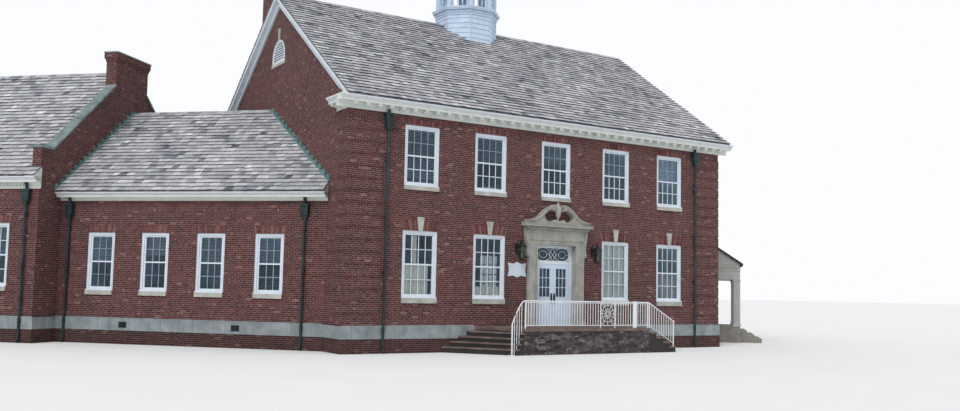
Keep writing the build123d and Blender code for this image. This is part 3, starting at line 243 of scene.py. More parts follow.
# Wraps one material's node tree
class Recipe:
    def __init__(self, name):
        self.material = bpy.data.materials.new(name)
        self.material.use_nodes = True
        self.tree = self.material.node_tree
        self.tree.nodes.clear()
        self.shader = self.node("ShaderNodeBsdfPrincipled")
        self.output = self.node("ShaderNodeOutputMaterial")
        self.put(self.output.inputs["Surface"], self.shader.outputs["BSDF"])
        coords = self.node("ShaderNodeTexCoord")
        self.position = coords.outputs["Object"]
        self.normal = coords.outputs["Normal"]

    def node(self, kind, **settings):
        made = self.tree.nodes.new(kind)
        for key, value in settings.items():
            setattr(made, key, value)
        return made

    def put(self, socket, value):
        if isinstance(value, bpy.types.NodeSocket):
            self.tree.links.new(value, socket)
        elif socket.type == "RGBA" and len(value) == 3:
            socket.default_value = paint(value)
        else:
            socket.default_value = value

    def fill(self, made, values):
        for key, value in values.items():
            self.put(made.inputs[key], value)
        return made

    def calc(self, kind, a, b=0.0):
        made = self.node("ShaderNodeMath", operation=kind)
        self.put(made.inputs[0], a)
        self.put(made.inputs[1], b)
        return made.outputs[0]

    def vector(self, kind, a, b=(0, 0, 0)):
        made = self.node("ShaderNodeVectorMath", operation=kind)
        self.put(made.inputs[0], a)
        self.put(made.inputs[1], b)
        return made.outputs["Value" if kind == "DOT_PRODUCT" else "Vector"]

    # Distance along an upright face, whichever way it looks
    def along(self):
        side = self.vector("NORMALIZE", self.vector("CROSS_PRODUCT", (0, 0, 1), self.normal))
        return self.calc("ADD", self.vector("DOT_PRODUCT", self.position, side), 60.0)

    def split(self, vector):
        made = self.node("ShaderNodeSeparateXYZ")
        self.put(made.inputs[0], vector)
        return made.outputs

    def noise(self, scale, detail=3.0, rough=0.55, stretch=(1, 1, 1)):
        where = self.vector("MULTIPLY", self.position, stretch)
        made = self.fill(self.node("ShaderNodeTexNoise"),
                         {"Vector": where, "Scale": scale, "Detail": detail, "Roughness": rough})
        return made.outputs["Fac"]

    def ramp(self, value, stops):
        made = self.node("ShaderNodeValToRGB")
        line = made.color_ramp.elements
        while len(line) < len(stops):
            line.new(0.5)
        for element, (place, colour) in zip(line, stops):
            element.position = place
            element.color = paint(colour) if len(colour) == 3 else colour
        self.put(made.inputs[0], value)
        return made.outputs["Color"]

    def level(self, value, low, high):
        return self.ramp(value, [(low, (0, 0, 0, 1)), (high, (1, 1, 1, 1))])

    # Mask from a noise: how much of it shows between two levels
    def patches(self, low, high, *noise):
        return self.level(self.noise(*noise), low, high)

    def mix(self, mask, a, b, share=None):
        made = self.node("ShaderNodeMix", data_type="RGBA")
        self.put(made.inputs[0], mask if share is None else self.calc("MULTIPLY", mask, share))
        self.put(made.inputs[6], a)
        self.put(made.inputs[7], b)
        return made.outputs[2]

    def bump(self, height, distance, strength=1.0):
        made = self.fill(self.node("ShaderNodeBump"),
                         {"Strength": strength, "Distance": distance, "Height": height})
        self.put(self.shader.inputs["Normal"], made.outputs["Normal"])

    def tone(self):
        return self.node("ShaderNodeAttribute", attribute_name="tone").outputs["Fac"]

    def done(self, colour, rough=0.7, metal=0.0, specular=0.5):
        self.fill(self.shader, {"Base Color": colour, "Roughness": rough, "Metallic": metal,
                                "Specular IOR Level": specular})
        return self.material


brickLooks = {"long": 0.2133, "joint": 0.0058, "headerEvery": 6,
              "dark": (52, 32, 35), "red": (88, 43, 43), "brown": (70, 37, 40), "rose": (106, 58, 56),
              "pale": (146, 112, 104), "mortar": (152, 138, 131), "speck": (172, 160, 152),
              "archPale": (128, 90, 84), "shadow": (14, 20, 18)}


# Common-bond brickwork laid over any upright face by its own direction
def brickFinish(name, looks, darken=0.0):
    r = Recipe(name)
    height = r.calc("SUBTRACT", r.split(r.position)[2], floorLevel - 40 * course)
    where = r.fill(r.node("ShaderNodeCombineXYZ"), {"X": r.along(), "Y": height}).outputs[0]

    def bond(long):
        made = r.node("ShaderNodeTexBrick")
        made.offset = 0.5
        r.fill(made, {"Vector": where, "Color1": (0, 0, 0), "Color2": (255, 255, 255), "Mortar": (0, 0, 0),
                      "Scale": 1.0, "Mortar Size": looks["joint"], "Mortar Smooth": 0.3, "Bias": 0.0,
                      "Brick Width": long, "Row Height": course})
        return made.outputs["Color"], made.outputs["Fac"]

    stretcherTint, stretcherJoint = bond(looks["long"])
    headerTint, headerJoint = bond(looks["long"] / 2)
    row = r.calc("FLOOR", r.calc("DIVIDE", height, course))
    isHeader = r.calc("LESS_THAN", r.calc("MODULO", row, looks["headerEvery"]), 0.5)
    tint = r.mix(isHeader, stretcherTint, headerTint)
    joint = r.mix(isHeader, stretcherJoint, headerJoint)
    colour = r.ramp(tint, [(0.0, looks["dark"]), (0.22, looks["brown"]), (0.5, looks["red"]),
                           (0.8, looks["rose"]), (0.95, looks["red"]), (0.985, looks["pale"])])
    colour = r.mix(r.patches(0.4, 0.75, 26, 4), colour, looks["dark"])
    colour = r.mix(r.patches(0.36, 0.68, 0.55, 4, 0.6), colour, looks["rose"], 0.28)
    colour = r.mix(r.patches(0.52, 0.74, 1.3, 4, 0.6, (1, 1, 0.2)), colour, looks["dark"], 0.35)
    colour = r.mix(r.patches(0.68, 0.76, 38, 2, 0.5), colour, looks["speck"], 0.75)
    mortar = r.mix(r.patches(0.4, 0.75, 5, 3), looks["mortar"], looks["brown"], 0.6)
    colour = r.mix(joint, colour, mortar)
    if darken:
        colour = r.mix(darken, colour, looks["shadow"])
    r.bump(r.calc("SUBTRACT", r.calc("MULTIPLY", r.noise(90, 3), 0.35), joint), 0.007, 0.8)
    return r.done(colour, 0.88, specular=0.25)


# Single fired bricks of the flat arches, each with its own tone
def archBrickFinish(name, looks):
    r = Recipe(name)
    colour = r.ramp(r.tone(), [(0.0, looks["brown"]), (0.35, looks["red"]), (0.7, looks["rose"]),
                               (1.0, looks["archPale"])])
    colour = r.mix(r.patches(0.45, 0.8, 26, 4), colour, looks["brown"])
    colour = r.mix(r.patches(0.62, 0.74, 38, 2, 0.5), colour, looks["speck"], 0.6)
    r.bump(r.noise(90, 3), 0.003, 0.6)
    return r.done(colour, 0.88, specular=0.25)


# Dressed stone, with fine joints along its length where asked
def stoneFinish(name, light, dark, jointEvery=0.0, stain=0.5):
    r = Recipe(name)
    grain = r.noise(70, 3, 0.6)
    colour = r.mix(r.patches(0.35, 0.7, 2.2, 5, 0.6), light, dark)
    colour = r.mix(r.level(grain, 0.5, 0.8), colour, dark, 0.35)
    colour = r.mix(r.patches(0.5, 0.75, 3.0, 4, 0.65, (1, 1, 0.15)), colour, shade(dark, 0.6), stain)
    height = r.calc("MULTIPLY", grain, 0.4)
    if jointEvery:
        near = r.calc("ABSOLUTE", r.calc("SUBTRACT", r.calc("MODULO", r.along(), jointEvery), jointEvery / 2))
        line = r.calc("LESS_THAN", near, 0.005)
        colour = r.mix(line, colour, shade(dark, 0.5), 0.7)
        height = r.calc("SUBTRACT", height, line)
    r.bump(height, 0.004, 0.6)
    return r.done(colour, 0.82, specular=0.3)


# The tone ramp runs far lighter than slate's own grey and stands in for sunlight on the roofs: painted light,
# over a real random tone for each slate
slateLooks = {"tones": [(0.0, (72, 77, 86)), (0.2, (128, 132, 139)), (0.45, (168, 170, 174)),
                        (0.68, (190, 189, 191)), (0.86, (208, 204, 205)), (1.0, (228, 226, 227))],
              "lichen": (196, 190, 190), "cleft": (78, 82, 92)}


# Split slate, each piece with its own tone
def slateFinish(name, looks):
    r = Recipe(name)
    cleft = r.noise(14, 5, 0.65, (1, 2.5, 2.5))
    colour = r.ramp(r.tone(), looks["tones"])
    colour = r.mix(r.patches(0.5, 0.68, 3.4, 5, 0.65), colour, looks["lichen"], 0.45)
    colour = r.mix(r.level(cleft, 0.5, 0.72), colour, looks["cleft"], 0.55)
    r.bump(cleft, 0.006, 0.7)
    return r.done(colour, r.calc("ADD", r.calc("MULTIPLY", cleft, 0.25), 0.45), specular=0.4)


# Gloss-worn paint over timber
def paintedFinish(name, clean, worn, grainStretch=(1, 1, 8), rough=0.42):
    r = Recipe(name)
    dust = r.patches(0.45, 0.75, 2.4, 5, 0.65)
    colour = r.mix(dust, clean, worn, 0.35)
    colour = r.mix(r.patches(0.72, 0.78, 42, 4, 0.7), colour, shade(worn, 0.75), 0.4)
    r.bump(r.noise(30, 3, 0.5, grainStretch), 0.0015, 0.5)
    return r.done(colour, r.calc("ADD", r.calc("MULTIPLY", dust, 0.2), rough), specular=0.45)


# Weathered sheet metal, from dark bronze to green
def metalFinish(name, fresh, aged, share=0.5, metal=0.35, rough=0.5):
    r = Recipe(name)
    fine = r.noise(60, 3)
    colour = r.mix(r.patches(0.42, 0.66, 4.2, 5, 0.65, (1, 1, 0.4)), fresh, aged, share)
    colour = r.mix(r.level(fine, 0.6, 0.75), colour, aged, 0.3)
    r.bump(fine, 0.001, 0.5)
    return r.done(colour, r.calc("ADD", r.calc("MULTIPLY", fine, 0.25), rough), metal=metal)


# Thin glass: mostly clear, with a mirror share that grows at a shallow angle
def glassFinish(name, tint, sheen, share):
    r = Recipe(name)
    clear = r.fill(r.node("ShaderNodeBsdfTransparent"), {"Color": tint})
    r.bump(r.noise(2.0, 2, 0.5), 0.002, 0.25)
    r.done(r.mix(r.patches(0.35, 0.7, 1.1, 3), sheen, shade(sheen, 0.85)), 0.05, metal=1.0)
    edge = r.fill(r.node("ShaderNodeLayerWeight"), {"Blend": 0.3}).outputs["Fresnel"]
    wander = r.calc("MULTIPLY", r.patches(0.3, 0.7, 0.8, 3), 0.05)
    both = r.node("ShaderNodeMixShader")
    r.put(both.inputs[0], r.calc("ADD", r.calc("MULTIPLY", edge, 0.7), r.calc("ADD", wander, share)))
    r.put(both.inputs[1], clear.outputs[0])
    r.put(both.inputs[2], r.shader.outputs[0])
    r.put(r.output.inputs["Surface"], both.outputs[0])
    return r.material


# Woven curtain or blind cloth
def clothFinish(name, light, dark):
    r = Recipe(name)
    colour = r.mix(r.patches(0.35, 0.65, 9, 3, 0.5, (1, 1, 0.05)), light, dark)
    r.bump(r.noise(220, 2, 0.5, (1, 1, 0.6)), 0.001, 0.5)
    return r.done(colour, 0.9, specular=0.1)


rubbleLooks = {"stones": [(0.0, (52, 44, 46)), (0.35, (74, 62, 62)), (0.65, (92, 84, 86)),
                          (0.9, (120, 116, 118))],
               "stain": (46, 42, 44), "joint": (84, 78, 76), "stretch": (3.4, 3.4, 9.0)}


# Rough coursed rubble and dark brick of the platform's sides
def rubbleFinish(name, looks):
    r = Recipe(name)
    where = {"Vector": r.vector("MULTIPLY", r.position, looks["stretch"]), "Scale": 1.0}
    cells = r.fill(r.node("ShaderNodeTexVoronoi"), where)
    edge = r.fill(r.node("ShaderNodeTexVoronoi", feature="DISTANCE_TO_EDGE"), where)
    stones = r.ramp(r.split(cells.outputs["Color"])[0], looks["stones"])
    joint = r.level(edge.outputs["Distance"], 0.0, 0.07)
    colour = r.mix(joint, looks["joint"], r.mix(r.patches(0.4, 0.7, 8, 4), stones, looks["stain"]))
    r.bump(r.mix(0.3, joint, r.noise(30, 4)), 0.02, 0.7)
    return r.done(colour, 0.9, specular=0.2)


finishBook = {
    "brick": brickFinish("wallBrick", brickLooks),
    "baseBrick": brickFinish("baseBrick", brickLooks, 0.45),
    "archBrick": archBrickFinish("archBrick", brickLooks),
    "mortar": stoneFinish("archMortar", (172, 160, 152), (140, 126, 120)),
    "clay": stoneFinish("flueClay", (146, 86, 64), (104, 60, 48)),
    "limestone": stoneFinish("bandLimestone", (148, 155, 158), (116, 124, 128), 1.22, stain=0.35),
    "carved": stoneFinish("carvedLimestone", (172, 170, 160), (134, 136, 132), stain=0.35),
    "keyLime": stoneFinish("keystoneLimestone", (186, 184, 176), (148, 148, 144), stain=0.25),
    "step": stoneFinish("stepStone", (126, 108, 100), (86, 74, 72), 1.5, stain=0.3),
    "riser": stoneFinish("riserStone", (58, 52, 52), (40, 38, 40), stain=0.3),
    "coping": stoneFinish("copingStone", (138, 150, 150), (96, 110, 112), 0.9, stain=0.45),
    "concrete": stoneFinish("floorConcrete", (150, 146, 138), (118, 114, 108)),
    "rubble": rubbleFinish("platformRubble", rubbleLooks),
    "slate": slateFinish("splitSlate", slateLooks),
    "white": paintedFinish("trimWhite", (212, 220, 228), (166, 176, 184)),
    "cream": paintedFinish("corniceCream", (214, 218, 212), (176, 182, 178)),
    "doorWhite": paintedFinish("doorWhite", (196, 212, 228), (160, 176, 194), rough=0.35),
    # The cupola's white is a darker, bluer copy of the trim white: painted shade
    "cupolaShadeWhite": paintedFinish("cupolaShadeWhite", (186, 204, 222), (142, 164, 184)),
    "porchWhite": paintedFinish("porchWhite", (178, 178, 174), (132, 134, 130)),
    "iron": paintedFinish("railWhite", (222, 226, 230), (172, 172, 168), (1, 1, 1), 0.38),
    "plaque": paintedFinish("plaqueWhite", (196, 208, 220), (164, 176, 188), (1, 1, 1), 0.45),
    "shadow": paintedFinish("ventShadow", (44, 50, 56), (30, 34, 38), rough=0.8),
    "bronze": metalFinish("pipeBronze", (32, 40, 42), (46, 84, 84)),
    "copper": metalFinish("flashingCopper", (74, 116, 118), (128, 168, 166), 0.6, 0.15, 0.6),
    "dome": metalFinish("domeCopper", (70, 96, 92), (120, 158, 148), 0.8, 0.2, 0.55),
    "lantern": metalFinish("lanternMetal", (16, 26, 27), (32, 54, 52), 0.4),
    "hardware": metalFinish("doorHardware", (26, 25, 24), (58, 52, 44), 0.4, 0.7, 0.35),
    "glass": glassFinish("paneGlass", (244, 248, 249), (156, 180, 200), 0.03),
    "lanternGlass": glassFinish("lanternGlass", (200, 210, 204), (170, 180, 176), 0.12),
    "drape": clothFinish("creamDrape", (254, 250, 238), (232, 226, 208)),
    "greyCloth": clothFinish("greyDrape", (168, 150, 152), (120, 112, 118)),
    "blind": clothFinish("greyBlind", (138, 154, 168), (112, 126, 140)),
}

nodeFinishes = {
    "brick": ["back_wall", "chimneys", "end_block_gables", "end_block_walls", "front_wall_left",
              "front_wall_over_door", "front_wall_right", "gable_walls", "wing_walls"],
    "baseBrick": ["brick_base"],
    "rubble": ["platform_base"],
    "limestone": ["water_table"],
    "carved": ["entrance_cornice", "entrance_frieze", "entrance_jambs", "entrance_pediment", "entrance_urn"],
    "keyLime": ["keystones", "window_sills"],
    "step": ["platform_slab"],
    "riser": ["left_steps", "right_steps"],
    "coping": ["end_block_coping"],
    "concrete": ["ground_floors", "upper_floor", "side_porch_floor"],
    "slate": ["main_roof", "wing_roofs"],
    "cream": ["main_cornice", "wing_cornices"],
    "shadow": ["gable_vents"],
    "white": ["raking_cornices", "lower_window_frames", "upper_window_frames", "wing_window_frames",
              "door_frame"],
    "doorWhite": ["left_door", "right_door", "side_door"],
    "cupolaShadeWhite": ["cupola_base", "cupola_cap", "cupola_cornice", "cupola_lantern"],
    "porchWhite": ["side_porch_beams", "side_porch_piers"],
    "dome": ["cupola_dome", "cupola_finial"],
    "bronze": ["downspouts", "side_porch_roof"],
    "hardware": ["left_door_handle", "right_door_handle"],
    "lantern": ["wall_lanterns"],
    "plaque": ["wall_plaque"],
    "iron": ["railings"],
    "glass": ["window_glass", "left_door_glass", "right_door_glass"],
}
for finish, names in nodeFinishes.items():
    for name in names:
        mesh = nodes[name].data
        mesh.materials.clear()
        mesh.materials.append(finishBook[finish])
bare = set(nodes) - {name for names in nodeFinishes.values() for name in names}
print("finishes set; nodes left bare:", sorted(bare))


# Slates, laid row by row from the eave, and saddle slates over the ridge
slateLaying = {"exposure": 0.245, "lap": 0.04, "narrow": 0.2, "wide": 0.38, "gap": 0.006, "tail": 0.045,
               "thick": (0.018, 0.028), "ragged": 0.014, "eaveDrop": 0.03, "shortest": 0.06, "sliver": 0.02,
               "uneven": 0.008, "twist": 0.003, "head": 0.003, "verge": 0.25, "seed": 1938,
               "tone": 0.55, "patchTone": 0.14, "spreadTone": 0.19, "tailShadeTone": 0.06}
saddleLaying = {"wide": (0.28, 0.36), "gap": 0.006, "down": 0.17, "over": 0.012, "lift": 0.036,
                "uneven": 0.006, "thick": 0.016, "tones": (0.1, 0.6)}


def laySlates(pile, volume, back, x0, x1, limits, dice, rise=math.inf):
    s = slateLaying
    rows = int(volume.slopeLength / s["exposure"])
    exposure = volume.slopeLength / rows
    for row in range(rows):
        v0 = row * exposure - s["eaveDrop"]
        v1 = min(v0 + exposure + s["lap"], volume.slopeLength - 0.01, rise)
        if v1 < v0 + s["shortest"]:
            break
        ends = []
        for v in (v0, v1):
            y = -volume.overhang + v * math.cos(volume.tilt)
            ends.append(limits(volume.depth - y if back else y))
        x = x0 - dice.uniform(0, s["narrow"])
        while x < x1:
            wide = dice.uniform(s["narrow"], s["wide"])
            left, right = x + s["gap"] / 2, x + wide - s["gap"] / 2
            x += wide
            tail = v0 + dice.uniform(-1, 1) * s["ragged"]
            corners = []
            for low, high in ends:
                low, high = max(low, x0), min(high, x1)
                corners.append((min(max(left, low), high), min(max(right, low), high)))
            (a0, b0), (a1, b1) = corners
            if max(b0 - a0, b1 - a1) < s["sliver"]:
                continue
            lift = s["tail"] + dice.uniform(-s["uneven"], s["uneven"])
            twist = dice.uniform(-s["twist"], s["twist"])
            foot = lift - dice.uniform(*s["thick"])
            spots = ((a0, tail, foot + twist), (b0, tail, foot - twist), (a0, tail, lift + twist),
                     (b0, tail, lift - twist), (a1, v1, s["head"]), (b1, v1, s["head"]))
            points = [volume.roofPoint(back, *spot) for spot in spots]
            faces = [(2, 3, 5, 4), (0, 1, 3, 2), (0, 2, 4), (1, 5, 3)]
            if back:
                faces = [face[::-1] for face in faces]
            patch = math.sin(left * 1.7 + row * 0.31) * math.sin(row * 0.53 + left * 0.6)
            tone = dice.gauss(s["tone"] + s["patchTone"] * patch, s["spreadTone"])
            pile.add(points, faces[:1], min(max(tone, 0), 1))
            pile.add(points, faces[1:], s["tailShadeTone"])  # tails and edges get a dark tone: painted shade under each course


def laySaddle(pile, volume, x0, x1, dice):
    s = saddleLaying
    low = volume.slopeLength - s["down"]
    x = x0
    while x < x1 - 0.05:
        wide = min(dice.uniform(*s["wide"]), x1 - x)
        tone = dice.uniform(*s["tones"])
        for back in (False, True):
            lift = s["lift"] + dice.uniform(0, s["uneven"])
            high = volume.slopeLength + (0.0 if back else s["over"])
            section = ((low, lift - s["thick"]), (low, lift), (high, lift), (high, lift - s["thick"]))
            loops = [[volume.roofPoint(back, a, v, h) for v, h in section]
                     for a in (x + s["gap"] / 2, x + wide - s["gap"] / 2)]
            pile.between(*(loops[::-1] if back else loops), tone=tone)
        x += wide


# How far slates may reach in x at a depth y: the wings stop at the main block's gables
def anywhere(y):
    return -math.inf, math.inf


def leftOfMain(y):
    return -math.inf, min(0.0, -y) - 0.01


def rightOfMain(y):
    return max(0.0, y) + 0.01, math.inf


dice = random.Random(slateLaying["seed"])
verge, parapet = slateLaying["verge"], endBlockSizes["parapet"]
roofs = [
    ("mainSlates", mainBlock, mainBlock.x0 - verge, mainBlock.x1 + verge, anywhere),
    ("leftWingSlates", leftWing, leftWing.x0, leftWing.x1, leftOfMain),
    ("rightWingSlates", rightWing, rightWing.x0, rightWing.x1 + verge, rightOfMain),
    ("endBlockSlates", endBlock, endBlock.x0 + parapet, endBlock.x1 - parapet, anywhere),
]
for name, volume, x0, x1, limits in roofs:
    pile = Pile()
    for back in (False, True):
        laySlates(pile, volume, back, x0, x1, limits, dice)
    if volume is endBlock:  # the eaves run on under the parapets
        rise = volume.overhang / math.cos(volume.tilt) - 0.005
        for back in (False, True):
            for a, b in ((volume.x0 - 0.06, x0), (x1, volume.x1 + 0.06)):
                laySlates(pile, volume, back, a, b, anywhere, dice, rise)
    low, high = limits(volume.depth / 2)
    laySaddle(pile, volume, max(x0, low), min(x1, high), dice)
    pile.make(name, "slate", "slate")
print("roofs slated")


# Windows: every sash, its bars, timber sill, flat arch and what hangs behind the glass.
# outerBars counts the sashes, from below, with bars in front of the pane too.
sashSizes = {"casing": 0.085, "sash": 0.06, "meeting": 0.05, "pane": 0.1, "paneThick": 0.008,
             "bar": 0.03, "barDeep": 0.02, "barProud": 0.014}
lowerSash = {"wide": 1.34, "bottom": 1.82, "top": 4.10, "columns": 4, "arch": 5, "outerBars": 2}
upperSash = {"wide": 1.34, "bottom": 5.61, "top": 7.69, "columns": 4, "arch": 3, "outerBars": 1}
wingSash = {"wide": 1.06, "bottom": 1.85, "top": 3.91, "columns": 3, "arch": 4, "outerBars": 0}
endSash = {"wide": 1.06, "bottom": 1.91, "top": 4.15, "columns": 3, "arch": 4, "outerBars": 2}

sideSpots = (-5.7, -2.9, 2.9, 5.7)
wingSpots = (2.08, 4.27, 6.41, 8.53)
endSpots = (1.65, 3.78, 5.91)
windows = []
for spots, sash in ((sideSpots, lowerSash), (sideSpots + (0.0,), upperSash)):
    windows += [(face, x, sash) for x in spots for face in (mainBlock.front, mainBlock.back)]
windows.append((mainBlock.back, 0.0, lowerSash))
windows += [(leftWing.front, -s, wingSash) for s in wingSpots]
windows += [(rightWing.front, s, wingSash) for s in (wingSpots[0], wingSpots[3])]
windows += [(rightWing.rightEnd, s, wingSash) for s in (rightWing.depth / 3, rightWing.depth * 2 / 3)]
windows += [(face, endBlock.x1 - s, endSash) for face in (endBlock.front, endBlock.back) for s in endSpots]
windows += [(endBlock.leftEnd, -s, endSash) for s in (endBlock.depth / 3, endBlock.depth * 2 / 3)]


def sashOpenings(sash):
    s = sashSizes
    low, high = sash["bottom"] + s["casing"], sash["top"] - s["casing"]
    middle = (low + high) / 2
    half = sash["wide"] / 2 - s["casing"] - s["sash"]
    return half, [(low + s["sash"], middle - s["meeting"] / 2), (middle + s["meeting"] / 2, high - s["sash"])]


# Each bar is a moulded strip behind the pane, and one in front where the sash has outer bars
def fitBars(pile, face, x, sash):
    s = sashSizes
    half, spans = sashOpenings(sash)
    bar = s["bar"] / 2
    inside = -s["pane"] - s["paneThick"] - s["barDeep"]
    strips = [(inside, inside + s["barDeep"], bar * 0.5, bar),
              (-s["pane"], -s["pane"] + s["barProud"], bar, bar * 0.55)]
    for number, (low, high) in enumerate(spans):
        for back, front, backHalf, frontHalf in strips[:2 if number < sash["outerBars"] else 1]:
            section = [(-backHalf, back), (-frontHalf, front), (frontHalf, front), (backHalf, back)]
            for at in spread(x - half, x + half, sash["columns"])[1:-1]:
                outline = [(at + a, o) for a, o in section]
                pile.between(face.level(outline, high), face.level(outline, low))
            pile.run(face, [(o, (low + high) / 2 + a) for a, o in section], x - half, x + half)


trimSizes = {"sill": [(-0.13, 0.012), (-0.13, 0.07), (-0.04, 0.06), (0.035, 0.045), (0.042, 0.03),
                      (0.035, 0.002)],
             "sillTop": 0.06, "sillGap": 0.002, "bead": 0.02, "beadOut": (-0.04, -0.03),
             "staff": 0.022, "staffOut": (-0.04, -0.022)}


# Timber sill, sash bead and staff bead round the casing
def fitTrim(pile, face, x, sash):
    s = trimSizes
    half = sash["wide"] / 2
    inner = half - sashSizes["casing"]
    low, high = sash["bottom"], sash["top"]
    lowIn, highIn = low + sashSizes["casing"], high - sashSizes["casing"]
    pile.run(face, placed(s["sill"], 0, low), x - half + s["sillGap"], x + half - s["sillGap"])
    for side in (-1, 1):
        x0, x1 = x + side * inner, x + side * (inner + s["bead"])
        pile.block(face, x0, x1, *s["beadOut"], lowIn, highIn)
        x0, x1 = x + side * half, x + side * (half - s["staff"])
        pile.block(face, x0, x1, *s["staffOut"], low + s["sillTop"], high)
    pile.block(face, x - inner, x + inner, *s["beadOut"], highIn, highIn + s["bead"])
    pile.block(face, x - half, x + half, *s["staffOut"], high - s["staff"], high)


archSizes = {"splay": 0.28, "lift": 0.004, "joint": 0.008, "proud": 0.007, "bed": (0.0005, 0.002),
             "breaks": (0.38, 0.62), "twoHigh": 4, "uneven": 0.2}


# Soldier bricks fanned over the opening on a mortar bed
def fitArch(pile, face, x, sash, dice):
    s = archSizes
    half = sash["wide"] / 2
    high = sash["arch"] * course
    z0, z1 = sash["top"] + s["lift"], sash["top"] + high
    splay = high * s["splay"]
    joint = s["joint"] / 2
    pile.plate(face, [(x - half, z0), (x - half - splay, z1), (x + half + splay, z1), (x + half, z0)],
               *s["bed"], finish=1)
    count = 2 * round(half / course) + 1
    feet, heads = spread(x - half, x + half, count), spread(x - half - splay, x + half + splay, count)

    def edge(k, z):
        return feet[k] + (heads[k] - feet[k]) * (z - z0) / (z1 - z0)

    for k in range(count):
        tone = dice.random()
        cuts = [(z0, z1)]
        if sash["arch"] >= s["twoHigh"]:  # two bricks in height, breaking joint
            split = z0 + (z1 - z0) * s["breaks"][k % 2]
            cuts = [(z0, split - joint), (split + joint, z1)]
        for low, high in cuts:
            outline = [(edge(k, low) + joint, low), (edge(k, high) + joint, high),
                       (edge(k + 1, high) - joint, high), (edge(k + 1, low) - joint, low)]
            pile.plate(face, outline, 0.0, s["proud"], tone=min(1, tone + dice.uniform(0, s["uneven"])))


clothSizes = {"deep": 0.17, "fold": 0.024, "side": 0.03, "over": 0.02, "under": 0.04}
blindSizes = {"deep": 0.14, "rail": 0.05, "pitch": 0.05,
              "drops": (0.52, 0.34, 0.5, 0.92, 0.5), "closed": 0.97,  # shares of the window's height
              "slat": [(-0.035, -0.012), (-0.006, -0.038), (-0.004, -0.036), (-0.033, -0.010)]}


# A hanging cloth with folds; each is its own piece
def hangCloth(name, face, x0, x1, z0, z1, folds, cloth="drape"):
    s = clothSizes
    columns, rows = folds * 8, 8
    outline = [(x0 + (x1 - x0) * share, -s["deep"] - s["fold"] * math.sin(2 * math.pi * share * folds))
               for share in spread(0, 1, columns)]
    points = [point for z in spread(z0, z1, rows) for point in face.level(outline, z)]
    wide = columns + 1
    faces = [(j * wide + k, j * wide + k + 1, (j + 1) * wide + k + 1, (j + 1) * wide + k)
             for j in range(rows) for k in range(columns)]
    pile = Pile()
    pile.add(points, faces, smooth=True)
    piece = pile.make(name, "white_paint", cloth)


# Slatted blind from the head down to a height
def hangBlind(pile, face, x0, x1, z0, z1):
    s = blindSizes
    pile.block(face, x0, x1, -s["deep"] - s["rail"], -s["deep"], z1 - s["rail"], z1)
    for k in range(int((z1 - z0) / s["pitch"])):
        pile.run(face, placed(s["slat"], -s["deep"], z1 - s["rail"] - k * s["pitch"]), x0, x1)


bars, trim, arches, blinds = Pile(), Pile(), Pile(), Pile()
for number, (face, x, sash) in enumerate(windows):
    fitBars(bars, face, x, sash)
    fitTrim(trim, face, x, sash)
    fitArch(arches, face, x, sash, dice)
    half, spans = sashOpenings(sash)
    low, middle, high = spans[0][0], spans[1][0], spans[1][1]
    left, right = x - half - clothSizes["side"], x + half + clothSizes["side"]
    foot, head = low - clothSizes["under"], high + clothSizes["over"]
    spot = x if face is mainBlock.front and sash is lowerSash else None
    if spot == -5.7:
        hangCloth("drapeCornerLow", face, left, right - 0.14, foot, middle + 0.02, 7)
        hangCloth("drapeCornerHigh", face, left + 0.3, left + 0.52, middle, head, 2)
    elif spot == -2.9:
        hangCloth("cafeCurtain", face, left, right, foot, low + 0.3, 6)
    elif spot == 2.9:
        hangCloth("drapeNearDoorLeft", face, left, x - 0.015, foot, head, 4)
        hangCloth("drapeNearDoorRight", face, x + 0.015, right, foot, head, 4)
    elif spot == 5.7:
        hangCloth("drapeFarWindow", face, left, right, foot, middle - 0.02, 5, "greyCloth")
    else:
        drop = blindSizes["drops"][number % 5]
        if face is mainBlock.back and sash is lowerSash:
            drop = blindSizes["closed"]  # so no front window shows daylight through the room
        hangBlind(blinds, face, left, right, high - (high - low) * drop, high)
bars.make("sashBars", "white_paint", "white")
trim.make("sashTrim", "white_paint", "white")
arches.make("flatArches", "brick", "archBrick", "mortar")
blinds.make("slattedBlinds", "white_paint", "blind")
print("windows fitted:", len(windows))


# Brick quoins: blocks of five courses standing proud at the main corners
quoinSizes = {"frontWide": 1.30, "sideWide": 0.86, "proud": 0.016, "courses": 5, "gap": 1}
mainCorners = [(face, side, face.beside(side * mainBlock.x1, 0, side * 90))
               for face in (mainBlock.front, mainBlock.back) for side in (-1, 1)]


def layQuoins(pile):
    q = quoinSizes
    pitch = (q["courses"] + q["gap"]) * course
    for k in range(int((mainSizes["frieze"] - floorLevel) / pitch)):
        z0 = floorLevel + k * pitch
        z1 = z0 + q["courses"] * course
        for face, side, end in mainCorners:
            edge, inner = side * (mainBlock.x1 + q["proud"]), side * (mainBlock.x1 - q["frontWide"])
            pile.block(face, edge, inner, 0, q["proud"], z0, z1)
            pile.block(end, 0, side * q["sideWide"], 0, q["proud"], z0, z1)


quoins = Pile()
layQuoins(quoins)
quoins.make("brickQuoins", "brick", "brick")


